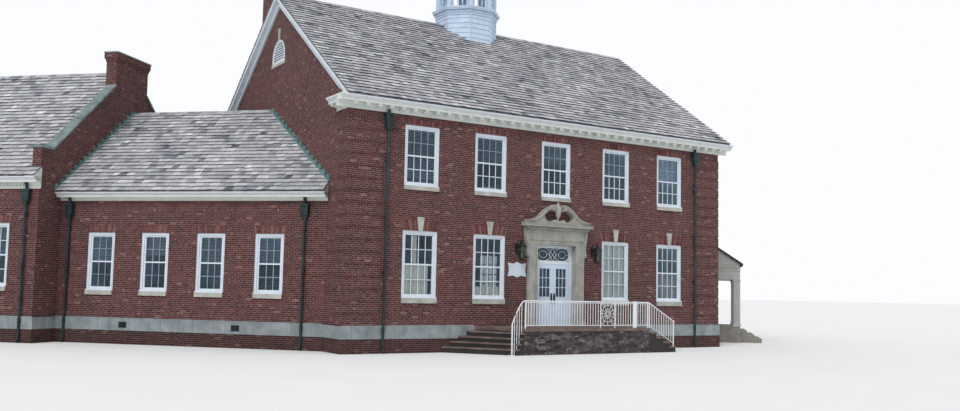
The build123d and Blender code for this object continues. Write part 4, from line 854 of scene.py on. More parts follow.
# Cornices: a crown under the slates, a bed mould, a bead at the frieze's foot, modillions and dentils
corniceSizes = {"mainOut": (0.34, 0.448), "wingOut": (0.29, 0.398), "return": 0.9,
                "aboveSoffit": 0.06, "belowEave": 0.077, "swell": 0.13, "step": 0.014, "lip": 0.022,
                "bed": [(0.03, -0.075), (0.05, -0.075), (0.056, -0.05), (0.085, -0.02), (0.092, -0.001),
                        (0.03, -0.001)],
                "foot": [(0.03, -0.012), (0.052, -0.012), (0.058, 0.012), (0.03, 0.03)]}
modillionSizes = {"every": 0.44, "half": 0.065, "capProud": 0.012, "capOut": 0.315, "capHigh": 0.022,
                  "inset": 0.12, "onReturn": (0.32, 0.74),
                  "side": [(0.04, -0.11), (0.10, -0.115), (0.17, -0.10), (0.22, -0.075), (0.27, -0.085),
                           (0.30, -0.07), (0.30, 0), (0.04, 0)]}
dentilSizes = {"every": 0.13, "half": 0.037, "out": 0.115, "high": 0.10, "inset": 0.36}


def crownProfile(out0, z0, out1, z1):
    c = corniceSizes
    curve = []
    for t in spread(0, 1, 4):
        swell = t - c["swell"] * math.sin(2 * math.pi * t)
        curve.append((out0 + (out1 - out0) * swell, z0 + c["step"] + (z1 - z0 - c["step"]) * t))
    start = [(0.02, z0), (out0, z0), (out0 + 0.006, z0 + 0.012)]
    return start + curve + [(out1, z1 + c["lip"]), (0.02, z1 + c["lip"])]


def dressCornice(pile, face, x0, x1, sizes, outs, mitres=(0, 0)):
    c = corniceSizes
    crown = crownProfile(outs[0], sizes["soffit"] + c["aboveSoffit"], outs[1], sizes["eave"] - c["belowEave"])
    pile.run(face, crown, x0, x1, *mitres)
    pile.run(face, placed(c["bed"], 0, sizes["soffit"]), x0, x1, *mitres, finish=1)
    pile.run(face, placed(c["foot"], 0, sizes["frieze"]), x0, x1, *mitres, finish=1)


def addModillions(pile, face, x0, x1, sizes):
    m = modillionSizes
    top = sizes["soffit"] + 0.001
    half = m["half"] + m["capProud"]
    for x in spread(x0, x1, max(1, round((x1 - x0) / m["every"]))):
        pile.run(face, placed(m["side"], 0, top), x - m["half"], x + m["half"], finish=1)
        pile.block(face, x - half, x + half, 0.04, m["capOut"], top - m["capHigh"], top, finish=1)


def addDentils(pile, face, x0, x1, sizes):
    d = dentilSizes
    top = sizes["soffit"] - 0.001
    count = int((x1 - x0) / d["every"])
    for k in range(count):
        x = x0 + 0.065 + k * (x1 - x0 - 0.06) / count
        pile.block(face, x - d["half"], x + d["half"], 0.04, d["out"], top - d["high"], top, finish=1)
    pile.block(face, x0, x1, 0.03, 0.06, top - 0.14, top - 0.105, finish=1)


crowns, wingCrowns = Pile(), Pile()
mainOut, wingOut = corniceSizes["mainOut"], corniceSizes["wingOut"]
for face in (mainBlock.front, mainBlock.back):
    inset = modillionSizes["inset"]
    dressCornice(crowns, face, mainBlock.x0, mainBlock.x1, mainSizes, mainOut, (1, 1))
    addModillions(crowns, face, mainBlock.x0 + inset, mainBlock.x1 - inset, mainSizes)
for face, side, end in mainCorners:
    x0, x1 = sorted((0, side * corniceSizes["return"]))
    dressCornice(crowns, end, x0, x1, mainSizes, mainOut, (1, 0) if side > 0 else (0, 1))
    addModillions(crowns, end, *sorted(side * x for x in modillionSizes["onReturn"]), mainSizes)
for face, x0, x1 in ((leftWing.front, leftWing.x0, 0), (leftWing.back, leftWing.x0 + leftWing.depth, 0),
                     (rightWing.front, 0, rightWing.x1), (rightWing.back, 0, rightWing.x1 - rightWing.depth)):
    dressCornice(wingCrowns, face, x0, x1, leftWingSizes, wingOut)
for face in (endBlock.front, endBlock.back):
    inset = dentilSizes["inset"]
    dressCornice(wingCrowns, face, endBlock.x0 - 0.06, endBlock.x1 + 0.06, endBlockSizes, wingOut)
    addDentils(wingCrowns, face, endBlock.x0 + inset, endBlock.x1 - inset, endBlockSizes)
crowns.make("mainCrown", "white_paint", "white", "cream")
wingCrowns.make("wingCrown", "white_paint", "white", "cream")


# Stepped flashing where a lower roof meets a wall, with a soaker strip along the slates
flashingSizes = {"courses": 3, "head": 0.06, "foot": 0.03, "proud": 0.006, "lap": 0.003,
                 "strip": 0.028, "stripOut": 0.02, "stripUp": 0.035}


def stepFlashing(pile, face, start, end):
    s = flashingSizes
    count = max(2, round(abs(end[1] - start[1]) / (s["courses"] * course)))
    steps = list(zip(spread(start[0], end[0], count), spread(start[1], end[1], count)))
    for k, ((xa, za), (xb, zb)) in enumerate(zip(steps, steps[1:])):
        head = max(za, zb) + s["head"]
        outline = [(xa, za - s["foot"]), (xb, zb - s["foot"]), (xb, head), (xa, head)]
        pile.plate(face, outline[::-1] if xb > xa else outline, 0.0, s["proud"] + s["lap"] * (k % 2))
    pile.bar(face.trace([(x, z + s["stripUp"]) for x, z in (start, end)], s["stripOut"]), s["strip"], 6)


flashing = Pile()
for volume, end, side in ((leftWing, mainBlock.leftEnd, -1), (rightWing, mainBlock.rightEnd, 1)):
    start, along = volume.sizes["corner"][1], math.sqrt(2) * volume.depth  # the wings meet it at 45 degrees
    ridge = (side * (start + along / 2), volume.top(volume.depth / 2))
    for y in (start, start + along):
        stepFlashing(flashing, end, (side * y, volume.top(0)), ridge)
forward = endBlockSizes["forward"]
ridge = (forward + leftWing.depth / 2, leftWing.top(leftWing.depth / 2))
for y in (-leftWing.overhang, leftWing.depth + leftWing.overhang):
    stepFlashing(flashing, endBlock.rightEnd, (forward + y, leftWing.eave), ridge)
flashing.make("stepFlashing", "copper", "copper")
print("cornices and flashing done")


# Raking boards of the main gables: (drop below the slates, height, distance out) of each strip
rakeSizes = {"crown": (0.06, 0.05, 0.235), "fillet": (0.19, 0.03, 0.15), "bead": (0.385, 0.03, 0.085)}
rakeStart = 0.62  # where the cornice's return ends


def dressRakes(pile, end, side):
    for drop, high, proud in rakeSizes.values():
        section = ((0.0, 0), (proud, 0), (proud, high), (0.0, high))
        for back in (False, True):
            ends = []
            for y in (rakeStart, mainBlock.depth / 2):
                z = mainBlock.top(y) - drop / math.cos(mainBlock.tilt)
                x = (mainBlock.depth - y if back else y) * side
                ends.append([end.at(x, o, z + h) for o, h in section])
            pile.between(*(ends if back == (side > 0) else ends[::-1]))


# Louvred vents with an arched rim
ventSizes = {"half": 0.58, "bottom": 10.83, "spring": 11.04, "centre": 6.75, "pitch": 0.1, "bead": 0.022,
             "rim": 0.035, "rimOut": (0.012, 0.02), "foot": 0.07,
             "slat": [(-0.038, 0.065), (-0.034, 0.08), (0.008, 0.045), (0.008, 0), (0, 0)]}


def ventArch(middle, radius, count, foot):
    spring = ventSizes["spring"]
    arc = [(middle + radius * math.cos(t), spring + radius * math.sin(t)) for t in spread(0, math.pi, count)]
    return [(middle + radius, foot)] + arc + [(middle - radius, foot)]


def fitLouvres(pile, end, side):
    v = ventSizes
    middle, half, foot = side * v["centre"], v["half"], v["bottom"] - v["foot"]
    z = v["bottom"] + 0.02
    while z < v["spring"] + half - 0.05:
        above = max(0.0, z + 0.04 - v["spring"])
        reach = math.sqrt(max(half ** 2 - above ** 2, 0.0001))
        pile.run(end, placed(v["slat"], 0, z), middle - reach, middle + reach)
        z += v["pitch"]
    for radius, proud in zip((half, half + v["rim"]), v["rimOut"]):
        inner, outer = (ventArch(middle, r, 24, foot) for r in (radius, radius + v["rim"]))
        for k in range(len(inner) - 1):
            pile.plate(end, [inner[k], outer[k], outer[k + 1], inner[k + 1]], -0.03, proud)
    pile.block(end, middle - half, middle + half, -0.03, 0.02, foot, v["bottom"])
    pile.bar(end.trace(ventArch(middle, half + v["rim"], 16, v["bottom"]), v["rimOut"][0]), v["bead"], 6)


rakes, louvres = Pile(), Pile()
for end, side in ((mainBlock.leftEnd, -1), (mainBlock.rightEnd, 1)):
    dressRakes(rakes, end, side)
    fitLouvres(louvres, end, side)
rakes.make("rakeMouldings", "white_paint", "white")
louvres.make("ventLouvres", "white_paint", "white")


# Chimneys: corbelled courses, a stone cap and clay flues; x, out and top of each stack on its wall face
stackSizes = {"main": (-8.47, -7.65, -8.85, -7.3, 15.2),
              "end": (endBlock.x1 - 0.45, endBlock.x1, -6.3, -4.09, 11.2),
              "corbels": (0.02, 0.04), "corbelDrop": 0.22, "capProud": 0.09, "capHigh": 0.05,
              "flues": (0.28, 0.72), "flue": [(0.13, 0.05), (0.15, 0.05), (0.14, 0.3), (0.155, 0.32),
                                              (0.155, 0.36), (0.115, 0.36), (0.11, 0.06)]}


def dressStack(pile, face, x0, x1, o0, o1, top):
    s = stackSizes
    for k, proud in enumerate(s["corbels"]):
        z = top - s["corbelDrop"] - (2 - k) * course
        pile.block(face, x0 - proud, x1 + proud, o0 - proud, o1 + proud, z, z + course)
    grow = s["capProud"]
    pile.block(face, x0 - grow, x1 + grow, o0 - grow, o1 + grow, top, top + s["capHigh"], finish=1)


stacks = Pile()
dressStack(stacks, mainBlock.front, *stackSizes["main"])
dressStack(stacks, endBlock.front, *stackSizes["end"])
x0, x1, o0, o1, top = stackSizes["main"]
for share in stackSizes["flues"]:
    centre = mainBlock.front.at((x0 + x1) / 2, o1 + (o0 - o1) * share, 0)
    stacks.turned(centre, placed(stackSizes["flue"], 0, top), 20, finish=2)
stacks.make("chimneyTops", "chimney_brick", "brick", "coping", "clay")


# Rainwater goods: collars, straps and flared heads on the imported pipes
pipeSizes = {"out": 0.1, "firstCollar": 0.7, "every": 1.85, "headDrop": 0.6,
             "collar": [(0.045, 0), (0.057, 0), (0.059, 0.05), (0.049, 0.065), (0.045, 0.065)],
             "straps": [(0.085, 0.012, 0.1, 0.13), (0.055, 0.152, 0.103, 0.127)],
             "head": [(0.155, 0.215, 0.3, 0.372), (0.14, 0.2, -0.02, 0.02), (0.138, 0.198, 0.07, 0.09)],
             "hopperLow": (0.055, 0.045, 0.155, -0.2), "hopperHigh": (0.12, 0.0, 0.18, -0.02),
             "outlet": [(0.1, 0.36), (0.1, 0.48), (0.16, 0.61)],
             "shoe": [(0.1, 0.16), (0.1, 0.12), (0.19, 0.04)], "bend": 0.05}


def dressPipe(pile, face, x, soffit):
    p = pipeSizes
    head = soffit - p["headDrop"]
    z = p["firstCollar"]
    while z < head - 0.4:
        pile.turned(face.at(x, p["out"], 0), placed(p["collar"], 0, z), 14)
        for half, out, low, high in p["straps"]:
            pile.block(face, x - half, x + half, 0, out, z + low, z + high)
        z += p["every"]
    for half, out, low, high in p["head"]:
        pile.block(face, x - half, x + half, 0, out, head + low, head + high)
    loops = []
    for half, o0, o1, rise in (p["hopperLow"], p["hopperHigh"]):
        outline = ((x - half, o0), (x - half, o1), (x + half, o1), (x + half, o0))
        loops.append(face.level(outline, head + rise))
    pile.between(*loops)
    for bend in (placed(p["outlet"], 0, head), p["shoe"]):
        pile.bar([face.at(x, o, z) for o, z in bend], p["bend"], 12)


pipes = Pile()
for face in (mainBlock.front, mainBlock.back):
    for x in (-7.05, 7.05):
        dressPipe(pipes, face, x, mainSizes["soffit"])
for s in (0.79, 9.82):
    dressPipe(pipes, leftWing.front, -s, leftWingSizes["soffit"])
    dressPipe(pipes, rightWing.front, s, leftWingSizes["soffit"])
dressPipe(pipes, endBlock.front, endBlock.x1 - 0.44, endBlockSizes["soffit"])
pipes.make("pipeFittings", "dark_bronze", "bronze")


# Cupola: eight-sided, with boards, caps, lantern columns and a seamed dome
cupolaSizes = {"centre": (0.0, 6.75), "base": 1.205, "capFoot": 13.93, "capTop": 14.18, "capHalf": 1.36,
               "board": 0.215, "lantern": 1.13, "lanternTop": 16.08, "corniceTop": 16.38, "dome": 1.15,
               "domeHigh": 1.25, "arch": 0.62, "column": 0.155, "colonnette": 0.036, "cap": 0.05,
               "bed": [(-0.16, -0.09), (-0.11, -0.09), (-0.10, -0.02), (-0.06, 0.02), (-0.05, 0.06),
                       (-0.16, 0.06)],
               "crown": [(-0.1, 0.12), (0.002, 0.12), (0.012, 0.16), (0.034, 0.20), (0.036, 0.25),
                         (-0.03, 0.264), (-0.1, 0.264)],
               "lanternCrown": [(-0.05, 0.05), (0.004, 0.05), (0.02, 0.10), (0.03, 0.145), (-0.05, 0.145)],
               "crownHalves": ((0.0, 1.26), (0.15, 1.35)),
               "baluster": [(0.01, 0.02), (0.03, 0.02), (0.018, 0.12), (0.034, 0.26), (0.02, 0.42),
                            (0.026, 0.5), (0.01, 0.5)],
               "domeFoot": [(1.1, 0), (1.19, 0), (1.19, 0.03), (1.165, 0.06), (1.1, 0.06)],
               "domeTop": [(0.02, -0.05), (0.2, -0.06), (0.17, 0), (0.09, 0.03), (0.06, 0.07), (0.02, 0.07)]}


# Corners of an octagon whose radius is to its flats
def cupolaCorners(radius):
    x, y = cupolaSizes["centre"]
    reach = radius / math.cos(math.pi / 8)
    turns = [(2 * k + 1) * math.pi / 8 for k in range(8)]
    return [(x + reach * math.cos(a), y + reach * math.sin(a)) for a in turns]


def boardCupola(pile):
    c = cupolaSizes
    base = c["base"]
    z = c["capFoot"] - 0.02
    while z > mainBlock.top(c["centre"][1] - base) - 0.1:
        foot = z - c["board"]
        pile.turned(c["centre"], [(base - 0.01, foot), (base + 0.03, foot), (base + 0.028, foot + 0.012),
                                  (base + 0.006, z), (base - 0.01, z)], 8)
        z = foot
    for x, y in cupolaCorners(base + 0.012):
        pile.bar([(x, y, mainBlock.top(y) - 0.1), (x, y, c["capFoot"])], 0.035, 4, 0.5)


def dressCap(pile):
    c = cupolaSizes
    for profile in (c["bed"], c["crown"]):
        pile.turned(c["centre"], placed(profile, c["capHalf"], c["capFoot"]), 8)
    for rise, half in c["crownHalves"]:
        pile.turned(c["centre"], placed(c["lanternCrown"], half, c["lanternTop"] + rise), 8)


# Corner columns with bases and capitals, slim colonnettes, arch rims and a baluster parapet
def dressLantern(pile):
    c = cupolaSizes
    foot, head = c["capTop"], c["lanternTop"]
    spring = head - c["arch"]
    side = 2 * c["lantern"] * math.tan(math.pi / 8)
    for corner in cupolaCorners(c["lantern"]):
        for z, proud in ((foot, 0.15), (foot + 0.05, 0.135), (spring - 0.05, 0.15), (head - 0.05, 0.15)):
            ring = [(0.05, 0), (proud, 0), (proud + 0.006, 0.025), (proud, 0.05), (0.05, 0.05)]
            pile.turned(corner, placed(ring, 0, z), 16)
    half, clear = side / 2 - c["column"], side / 2 - c["column"] - 0.005
    centreX, centreY = c["centre"]
    for k in range(8):
        turn = k * math.pi / 4
        middle = (centreX + c["lantern"] * math.sin(turn), centreY - c["lantern"] * math.cos(turn))
        face = WallFace(middle, 45 * k)
        for x in (-half, half):
            pile.bar(face.trace([(x, foot), (x, spring)], 0.0), c["colonnette"], 10)
            pile.post(face, x, 0, c["cap"], spring - 0.06, spring)
            pile.post(face, x, 0, c["cap"], foot, foot + 0.08)
        arc = [(clear * math.cos(t), spring + clear * math.sin(t)) for t in spread(0, math.pi, 14)]
        pile.bar(face.trace(arc, 0.062), 0.022, 6)
        keystone = [(-0.03, -0.01), (-0.045, 0.13), (0.045, 0.13), (0.03, -0.01)]
        pile.plate(face, placed(keystone, 0, spring + clear), 0.05, 0.085)
        for x in (-half / 3, half / 3):
            pile.turned(face.at(x, 0, 0), placed(c["baluster"], 0, foot), 10)
        pile.block(face, -half, half, -0.03, 0.03, foot + 0.5, foot + 0.55)


def ribDome(pile):
    c = cupolaSizes
    x, y = c["centre"]
    for k in range(16):
        a = (2 * k + 1) * math.pi / 16
        path = []
        for t in spread(0, math.pi / 2 * 0.97, 12):
            r = (c["dome"] + 0.012) * math.cos(t)
            path.append((x + r * math.cos(a), y + r * math.sin(a),
                         c["corniceTop"] + (c["domeHigh"] + 0.012) * math.sin(t)))
        pile.bar(path, 0.017, 6)
    pile.turned(c["centre"], placed(c["domeFoot"], 0, c["corniceTop"]), 48)
    pile.turned(c["centre"], placed(c["domeTop"], 0, c["corniceTop"] + c["domeHigh"]), 24)


boards, cap, ribs = Pile(), Pile(), Pile()
boardCupola(boards)
dressCap(cap)
dressLantern(cap)
ribDome(ribs)
boards.make("cupolaBoards", "white_paint", "cupolaShadeWhite")
cap.make("cupolaMouldings", "white_paint", "cupolaShadeWhite")
ribs.make("domeSeams", "copper", "dome")
print("roof features, pipes and cupola done")


# Entrance: carving on the pediment, surround and shoulders
entrance = {"half": 1.27, "openTop": 3.85, "top": 4.41, "proud": 0.12, "corniceHalf": 1.54,
            "corniceProud": 0.34, "corniceTop": 4.6, "blockHalf": (0.865, 1.3),
            "shelves": ((0.12, 0.20, 4.36, 4.41, 0), (0.2, 0.265, 4.41, 4.46, 0),
                        (0.30, 0.352, 4.525, 4.57, 0.02)),
            "bandsRound": ((0.88, 0.93, 0.028), (0.94, 0.98, 0.014), (1.215, 1.27, 0.018)),
            "bandsOver": ((0.0, 0.028, 0.93), (0.065, 0.014, 0.98)), "bandHigh": 0.05,
            "blocks": ((0.035, 0, 0.15), (0.022, 0.15, 0.185)),
            "friezeBead": [(0.12, 4.0), (0.138, 4.0), (0.146, 4.018), (0.138, 4.036), (0.12, 4.036)],
            "console": [(0.0, 0.0), (0.165, 0.0), (0.16, -0.1), (0.15, -0.22), (0.125, -0.38),
                        (0.095, -0.55), (0.075, -0.7), (0.078, -0.8), (0.095, -0.87), (0.09, -0.95),
                        (0.05, -1.0), (0.0, -1.0)],
            "consoleDiscs": ((0.11, 0.05), (0.91, 0.042))}
pediment = {"top": 5.39, "proud": 0.24, "gap": 0.19, "endHigh": 0.13, "bendHigh": 0.33, "tipDrop": 0.06,
            "sag": 0.07, "openX": 0.4, "openZ": 0.32, "openWide": 0.29, "openTall": 0.235, "openTurn": 125,
            "rim": [(0.012, -0.24), (0.012, 0.075), (-0.012, 0.08), (-0.035, 0.06), (-0.06, 0.045),
                    (-0.065, 0.02), (-0.10, 0.016), (-0.105, 0), (-0.105, -0.24)],
            "band": [(-0.004, -0.24), (-0.004, 0.022), (0.03, 0.026), (0.042, 0.004), (0.042, -0.24)],
            "volute": 0.085, "footDiscs": ((0.095, 0.02), (0.05, 0.032), (0.024, 0.045)),
            "tipDiscs": ((0.075, 0.03), (0.045, 0.045))}


def arcThrough(a, b, c, count):
    (ax, az), (bx, bz), (cx, cz) = a, b, c
    squares = [x ** 2 + z ** 2 for x, z in (a, b, c)]
    d = 2 * (ax * (bz - cz) + bx * (cz - az) + cx * (az - bz))
    ux = (squares[0] * (bz - cz) + squares[1] * (cz - az) + squares[2] * (az - bz)) / d
    uz = (squares[0] * (cx - bx) + squares[1] * (ax - cx) + squares[2] * (bx - ax)) / d
    radius = math.hypot(ax - ux, az - uz)
    start, end = math.atan2(az - uz, ax - ux), math.atan2(cz - uz, cx - ux)
    sweep = (end - start + math.pi) % (2 * math.pi) - math.pi
    turns = spread(start, start + sweep, count)
    return [(ux + radius * math.cos(t), uz + radius * math.sin(t)) for t in turns]


# The pediment half's S-curve, outer end to tip, for the right side
def pedimentCurve():
    p = pediment
    foot = entrance["corniceTop"]
    outer, inner = entrance["corniceHalf"] - entrance["proud"], p["gap"]
    middle = (outer + inner) / 2
    low, bend, tip = foot + p["endHigh"], foot + p["bendHigh"], p["top"] - p["tipDrop"]
    first = arcThrough((outer, low), ((outer + middle) / 2, (low + bend) / 2 - p["sag"]), (middle, bend), 12)
    second = arcThrough((middle, bend), ((inner + middle) / 2, (bend + tip) / 2 + p["sag"]), (inner, tip), 12)
    return first + second[1:]


# Moulding that follows an (x, z) line on a wall; profile is (across the line, out)
def followLine(pile, face, line, profile, side):
    loops = []
    for k, (x, z) in enumerate(line):
        a, b = line[max(k - 1, 0)], line[min(k + 1, len(line) - 1)]
        dx, dz = b[0] - a[0], b[1] - a[1]
        size = math.hypot(dx, dz)
        loops.append([face.at(side * (x + dz / size * c), o, z - dx / size * c) for c, o in profile])
    for pair in zip(loops, loops[1:]):
        pile.between(*(pair if side > 0 else pair[::-1]), caps=False)
    for loop in (loops[0], loops[-1]):
        pile.add(loop, [list(range(len(profile)))])


def addDiscs(pile, x, z, discs, out, count=20):
    for radius, front in discs:
        pile.plate(doorway, circle(x, z, radius, count), 0.0, out + front)


def dressPediment(pile):
    p = pediment
    proud, foot, turn = p["proud"], entrance["corniceTop"], math.radians(p["openTurn"])
    oval = [(p["openX"] + p["openWide"] * math.cos(t), foot + p["openZ"] + p["openTall"] * math.sin(t))
            for t in spread(-turn, turn, 40)]
    for side in (-1, 1):
        for line, profile in ((pedimentCurve(), p["rim"]), (oval, p["band"])):
            followLine(pile, doorway, line, placed(profile, 0, proud), side)
        addDiscs(pile, side * p["gap"], foot + p["volute"], p["footDiscs"], proud)
        addDiscs(pile, side * (p["gap"] + 0.075), p["top"] - p["tipDrop"] - 0.12, p["tipDiscs"], proud)


# Cornice, architrave and frieze mouldings
def dressSurround(pile):
    e = entrance
    shelf, proud = e["corniceTop"], e["proud"]
    for out0, out1, z0, z1, past in e["shelves"]:
        wide, high = out1 - out0, z1 - z0
        profile = [(0.0, z0), (out0, z0), (out0 + wide * 0.35, z0 + high * 0.25),
                   (out0 + wide * 0.5, z0 + high * 0.6), (out1, z1 - 0.006), (out1, z1), (0.0, z1)]
        half = e["half"] - proud + out1 * 0.5 + past
        pile.run(doorway, profile, -half, half, 0.5, 0.5)
    half, out = e["corniceHalf"] + 0.012, e["corniceProud"] + 0.012
    pile.run(doorway, [(0, shelf), (out, shelf), (out, shelf + 0.02), (0, shelf + 0.05)], -half, half)
    for rise, out, half in e["bandsOver"]:
        z = e["openTop"] + rise
        pile.block(doorway, -half, half, proud, proud + out, z, z + e["bandHigh"])
    pile.run(doorway, e["friezeBead"], -e["half"], e["half"])
    for side in (-1, 1):
        for x0, x1, out in e["bandsRound"]:
            pile.block(doorway, side * x0, side * x1, proud, proud + out, floorLevel + 0.18, e["openTop"])
        x0, x1 = (side * x for x in e["blockHalf"])
        for out, low, high in e["blocks"]:
            pile.block(doorway, x0, x1, 0, proud + out, floorLevel + low, floorLevel + high)


# Shoulder brackets hanging from the cornice's outer ends
def addConsoles(pile):
    e = entrance
    half, top, out = e["half"], e["top"], e["proud"]
    for side in (-1, 1):
        pile.plate(doorway, [(side * (half + x), top + z) for x, z in e["console"]], 0.0, out + 0.01)
        inset = [(side * (half + 0.02 + x * 0.62), top - 0.06 + z * 0.86) for x, z in e["console"]]
        pile.plate(doorway, inset, 0.0, out + 0.03)
        for drop, radius in e["consoleDiscs"]:
            addDiscs(pile, side * (half + 0.06), top - drop, ((radius, 0.05),), out, 16)


carving = Pile()
dressPediment(carving)
dressSurround(carving)
addConsoles(carving)
carving.make("entranceCarving", "carved_limestone", "carved")


# Transom tracery: ovals either side of crossed bars
transom = {"half": 0.75, "low": 3.25, "high": 3.77, "out": -0.155, "bar": 0.011, "ovalX": 0.44,
           "ovals": (0.3, 0.17), "edge": 0.03, "edgeOut": (-0.17, -0.13), "cross": 0.2, "diamond": 0.14,
           "corner": (0.12, 0.35)}


def addTracery(pile):
    t = transom
    low, high, half, edge = t["low"], t["high"], t["half"], t["edge"]
    middle, tall = (low + high) / 2, (high - low) / 2
    outer, inner = t["ovals"]
    lines = []
    for centre in (-t["ovalX"], t["ovalX"]):
        for wide, share in ((outer, (tall - 0.015) / outer), (inner, tall * 0.5 / inner)):
            ring = doorway.trace(circle(centre, middle, wide, 36, share), t["out"])
            pile.bar(ring, t["bar"], 6, closed=True)
        lines += [((centre + side * inner, 0), (centre + side * outer, 0)) for side in (-1, 1)]
    cross, diamond = t["cross"], t["diamond"]
    lines += [((-cross, -tall), (cross, tall)), ((-cross, tall), (cross, -tall)), ((-diamond, 0), (0, tall)),
              ((0, tall), (diamond, 0)), ((diamond, 0), (0, -tall)), ((0, -tall), (-diamond, 0))]
    run, rise = t["corner"]
    for side in (-1, 1):
        lines += [((side * half, z * rise), (side * (half - run), z)) for z in (-tall, tall)]
    for line in lines:
        pile.bar(doorway.trace(placed(line, 0, middle), t["out"]), t["bar"], 6)
    for x0, x1, z0, z1 in ((-half, half, low, low + edge), (-half, half, high - edge, high),
                           (-half, edge - half, low, high), (half - edge, half, low, high)):
        pile.block(doorway, x0, x1, *t["edgeOut"], z0, z1)


tracery = Pile()
addTracery(tracery)
tracery.make("transomTracery", "white_paint", "white")


# Door leaves: glazing bars, mouldings and back plates, each on its own leaf
doorSizes = {"inner": 0.0025, "outer": 0.745, "face": -0.125, "edge": 0.13, "glass": (1.94, 2.995),
             "panel": (1.09, 1.79), "columns": 3, "rows": 3, "bar": 0.011, "raised": (0.05, 0.09),
             "plateX": 0.0675, "plate": (0.028, 1.70, 2.08), "screws": (1.715, 2.065), "lock": (1.64, 0.018)}


# Corners of a panel, drawn in by a margin
def panelOutline(x0, x1, z0, z1, margin=0.0):
    x0, x1, z0, z1 = x0 + margin, x1 - margin, z0 + margin, z1 - margin
    return [(x0, z0), (x0, z1), (x1, z1), (x1, z0)]


def dressLeaf(side, name, body):
    d = doorSizes
    pile, metal = Pile(), Pile()
    x0, x1 = sorted((side * (d["inner"] + d["edge"]), side * (d["outer"] - d["edge"])))
    out, bar = d["face"], d["bar"]
    low, high = d["glass"]
    for x in spread(x0, x1, d["columns"])[1:-1]:
        pile.block(doorway, x - bar, x + bar, out - 0.018, out - 0.004, low, high)
    for z in spread(low, high, d["rows"])[1:-1]:
        pile.block(doorway, x0, x1, out - 0.018, out - 0.0045, z - bar, z + bar)
    for low, high in (d["glass"], d["panel"]):
        for z0, z1 in ((low - 0.012, low + 0.01), (high - 0.01, high + 0.012)):
            pile.block(doorway, x0 - 0.012, x1 + 0.012, out - 0.02, out + 0.006, z0, z1)
        for a, b in ((x0 - 0.012, x0 + 0.01), (x1 - 0.01, x1 + 0.012)):
            pile.block(doorway, a, b, out - 0.02, out + 0.006, low + 0.01, high - 0.01)
    raised, inner = (panelOutline(x0, x1, *d["panel"], margin) for margin in d["raised"])
    pile.between(doorway.trace(inner, out - 0.001), doorway.trace(raised, out - 0.009))
    pile.make(name + "Mouldings", "door_paint", "doorWhite", body=body)
    x = side * d["plateX"]
    half, low, high = d["plate"]
    metal.block(doorway, x - half, x + half, out, out + 0.004, low, high)
    for z in d["screws"]:
        metal.block(doorway, x - 0.006, x + 0.006, out + 0.004, out + 0.008, z - 0.006, z + 0.006)
    z, radius = d["lock"]
    metal.plate(doorway, circle(x, z, radius, 16), out, out + 0.01)
    metal.make(name + "Plates", "dark_bronze", "hardware", body=body)


dressLeaf(-1, "leftDoor", "left_leaf")
dressLeaf(1, "rightDoor", "right_leaf")
print("entrance dressed")


# Lanterns: glazed four-sided bodies with a hipped cap on a scrolled bracket
lanternSizes = {"x": 1.74, "out": 0.33, "low": 3.30, "high": 3.72, "footHalf": 0.075, "headHalf": 0.12,
                "cap": ((0.145, 0.0), (0.135, 0.025), (0.085, 0.075), (0.05, 0.115), (0.042, 0.16),
                        (0.05, 0.165), (0.02, 0.2)),
                "finial": [(0.001, 0.2), (0.018, 0.21), (0.026, 0.235), (0.016, 0.26), (0.001, 0.285)],
                "candle": [(0.001, 0), (0.02, 0), (0.02, 0.18), (0.001, 0.19)],
                "backPlate": [(-0.055, 3.5), (-0.055, 3.82), (0, 3.87), (0.055, 3.82), (0.055, 3.5),
                              (0, 3.45)],
                "armFoot": (0.02, 3.62), "armMiddle": (0.17, 3.78), "armReach": (0.13, 0.18), "armHead": 3.90,
                "curlMiddle": (0.09, 3.60), "curl": 0.07}


def addLantern(pile, x):
    n = lanternSizes
    out, low, high = n["out"], n["low"], n["high"]
    footHalf, headHalf = n["footHalf"], n["headHalf"]

    def square(half, z):
        corners = ((-half, -half), (-half, half), (half, half), (half, -half))
        return doorway.level(placed(corners, x, out), z)

    foot, head = square(footHalf, low), square(headHalf, high)
    for a, b in zip(foot, head):
        pile.bar([a, b], 0.009, 4, 0.5)
    for loop in (foot, head, square((footHalf + headHalf) / 2, (low + high) / 2)):
        for k in range(4):
            pile.bar([loop[k - 1], loop[k]], 0.007, 4, 0.5)
    pile.between(square(footHalf - 0.006, low + 0.01), square(headHalf - 0.006, high - 0.01), caps=False,
                 finish=1)
    pile.between(square(footHalf + 0.012, low - 0.015), square(footHalf + 0.004, low + 0.005))
    pile.between(square(0.03, low - 0.06), square(footHalf, low - 0.015))
    for (half0, z0), (half1, z1) in zip(n["cap"], n["cap"][1:]):
        pile.between(square(half0, high + z0), square(half1, high + z1))
    pile.turned(doorway.at(x, out, 0), placed(n["finial"], 0, high), 12, closed=False)
    pile.turned(doorway.at(x, out, 0), placed(n["candle"], 0, low), 12, finish=2)
    pile.plate(doorway, placed(n["backPlate"], x, 0), 0.0, 0.022)
    (armOut, armZ), (reach, rise) = n["armMiddle"], n["armReach"]
    bend = [(armOut - reach * math.cos(t), armZ + rise * math.sin(t)) for t in spread(0, math.pi, 12)[:-1]]
    arm = [n["armFoot"]] + bend + [(out, n["armHead"])]
    turns = [(n["curl"] - 0.004 * k, 0.55 * k) for k in range(15)]
    curl = placed([(r * math.cos(t), r * math.sin(t)) for r, t in turns], *n["curlMiddle"])
    for line, thick, sides in ((arm, 0.012, 8), (curl, 0.008, 6)):
        pile.bar([doorway.at(x, o, z) for o, z in line], thick, sides)


lanterns = Pile()
for x in (-lanternSizes["x"], lanternSizes["x"]):
    addLantern(lanterns, x)
piece = lanterns.make("wallLanterns", "dark_bronze", "lantern", "lanternGlass", "drape")
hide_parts("wall_lanterns")


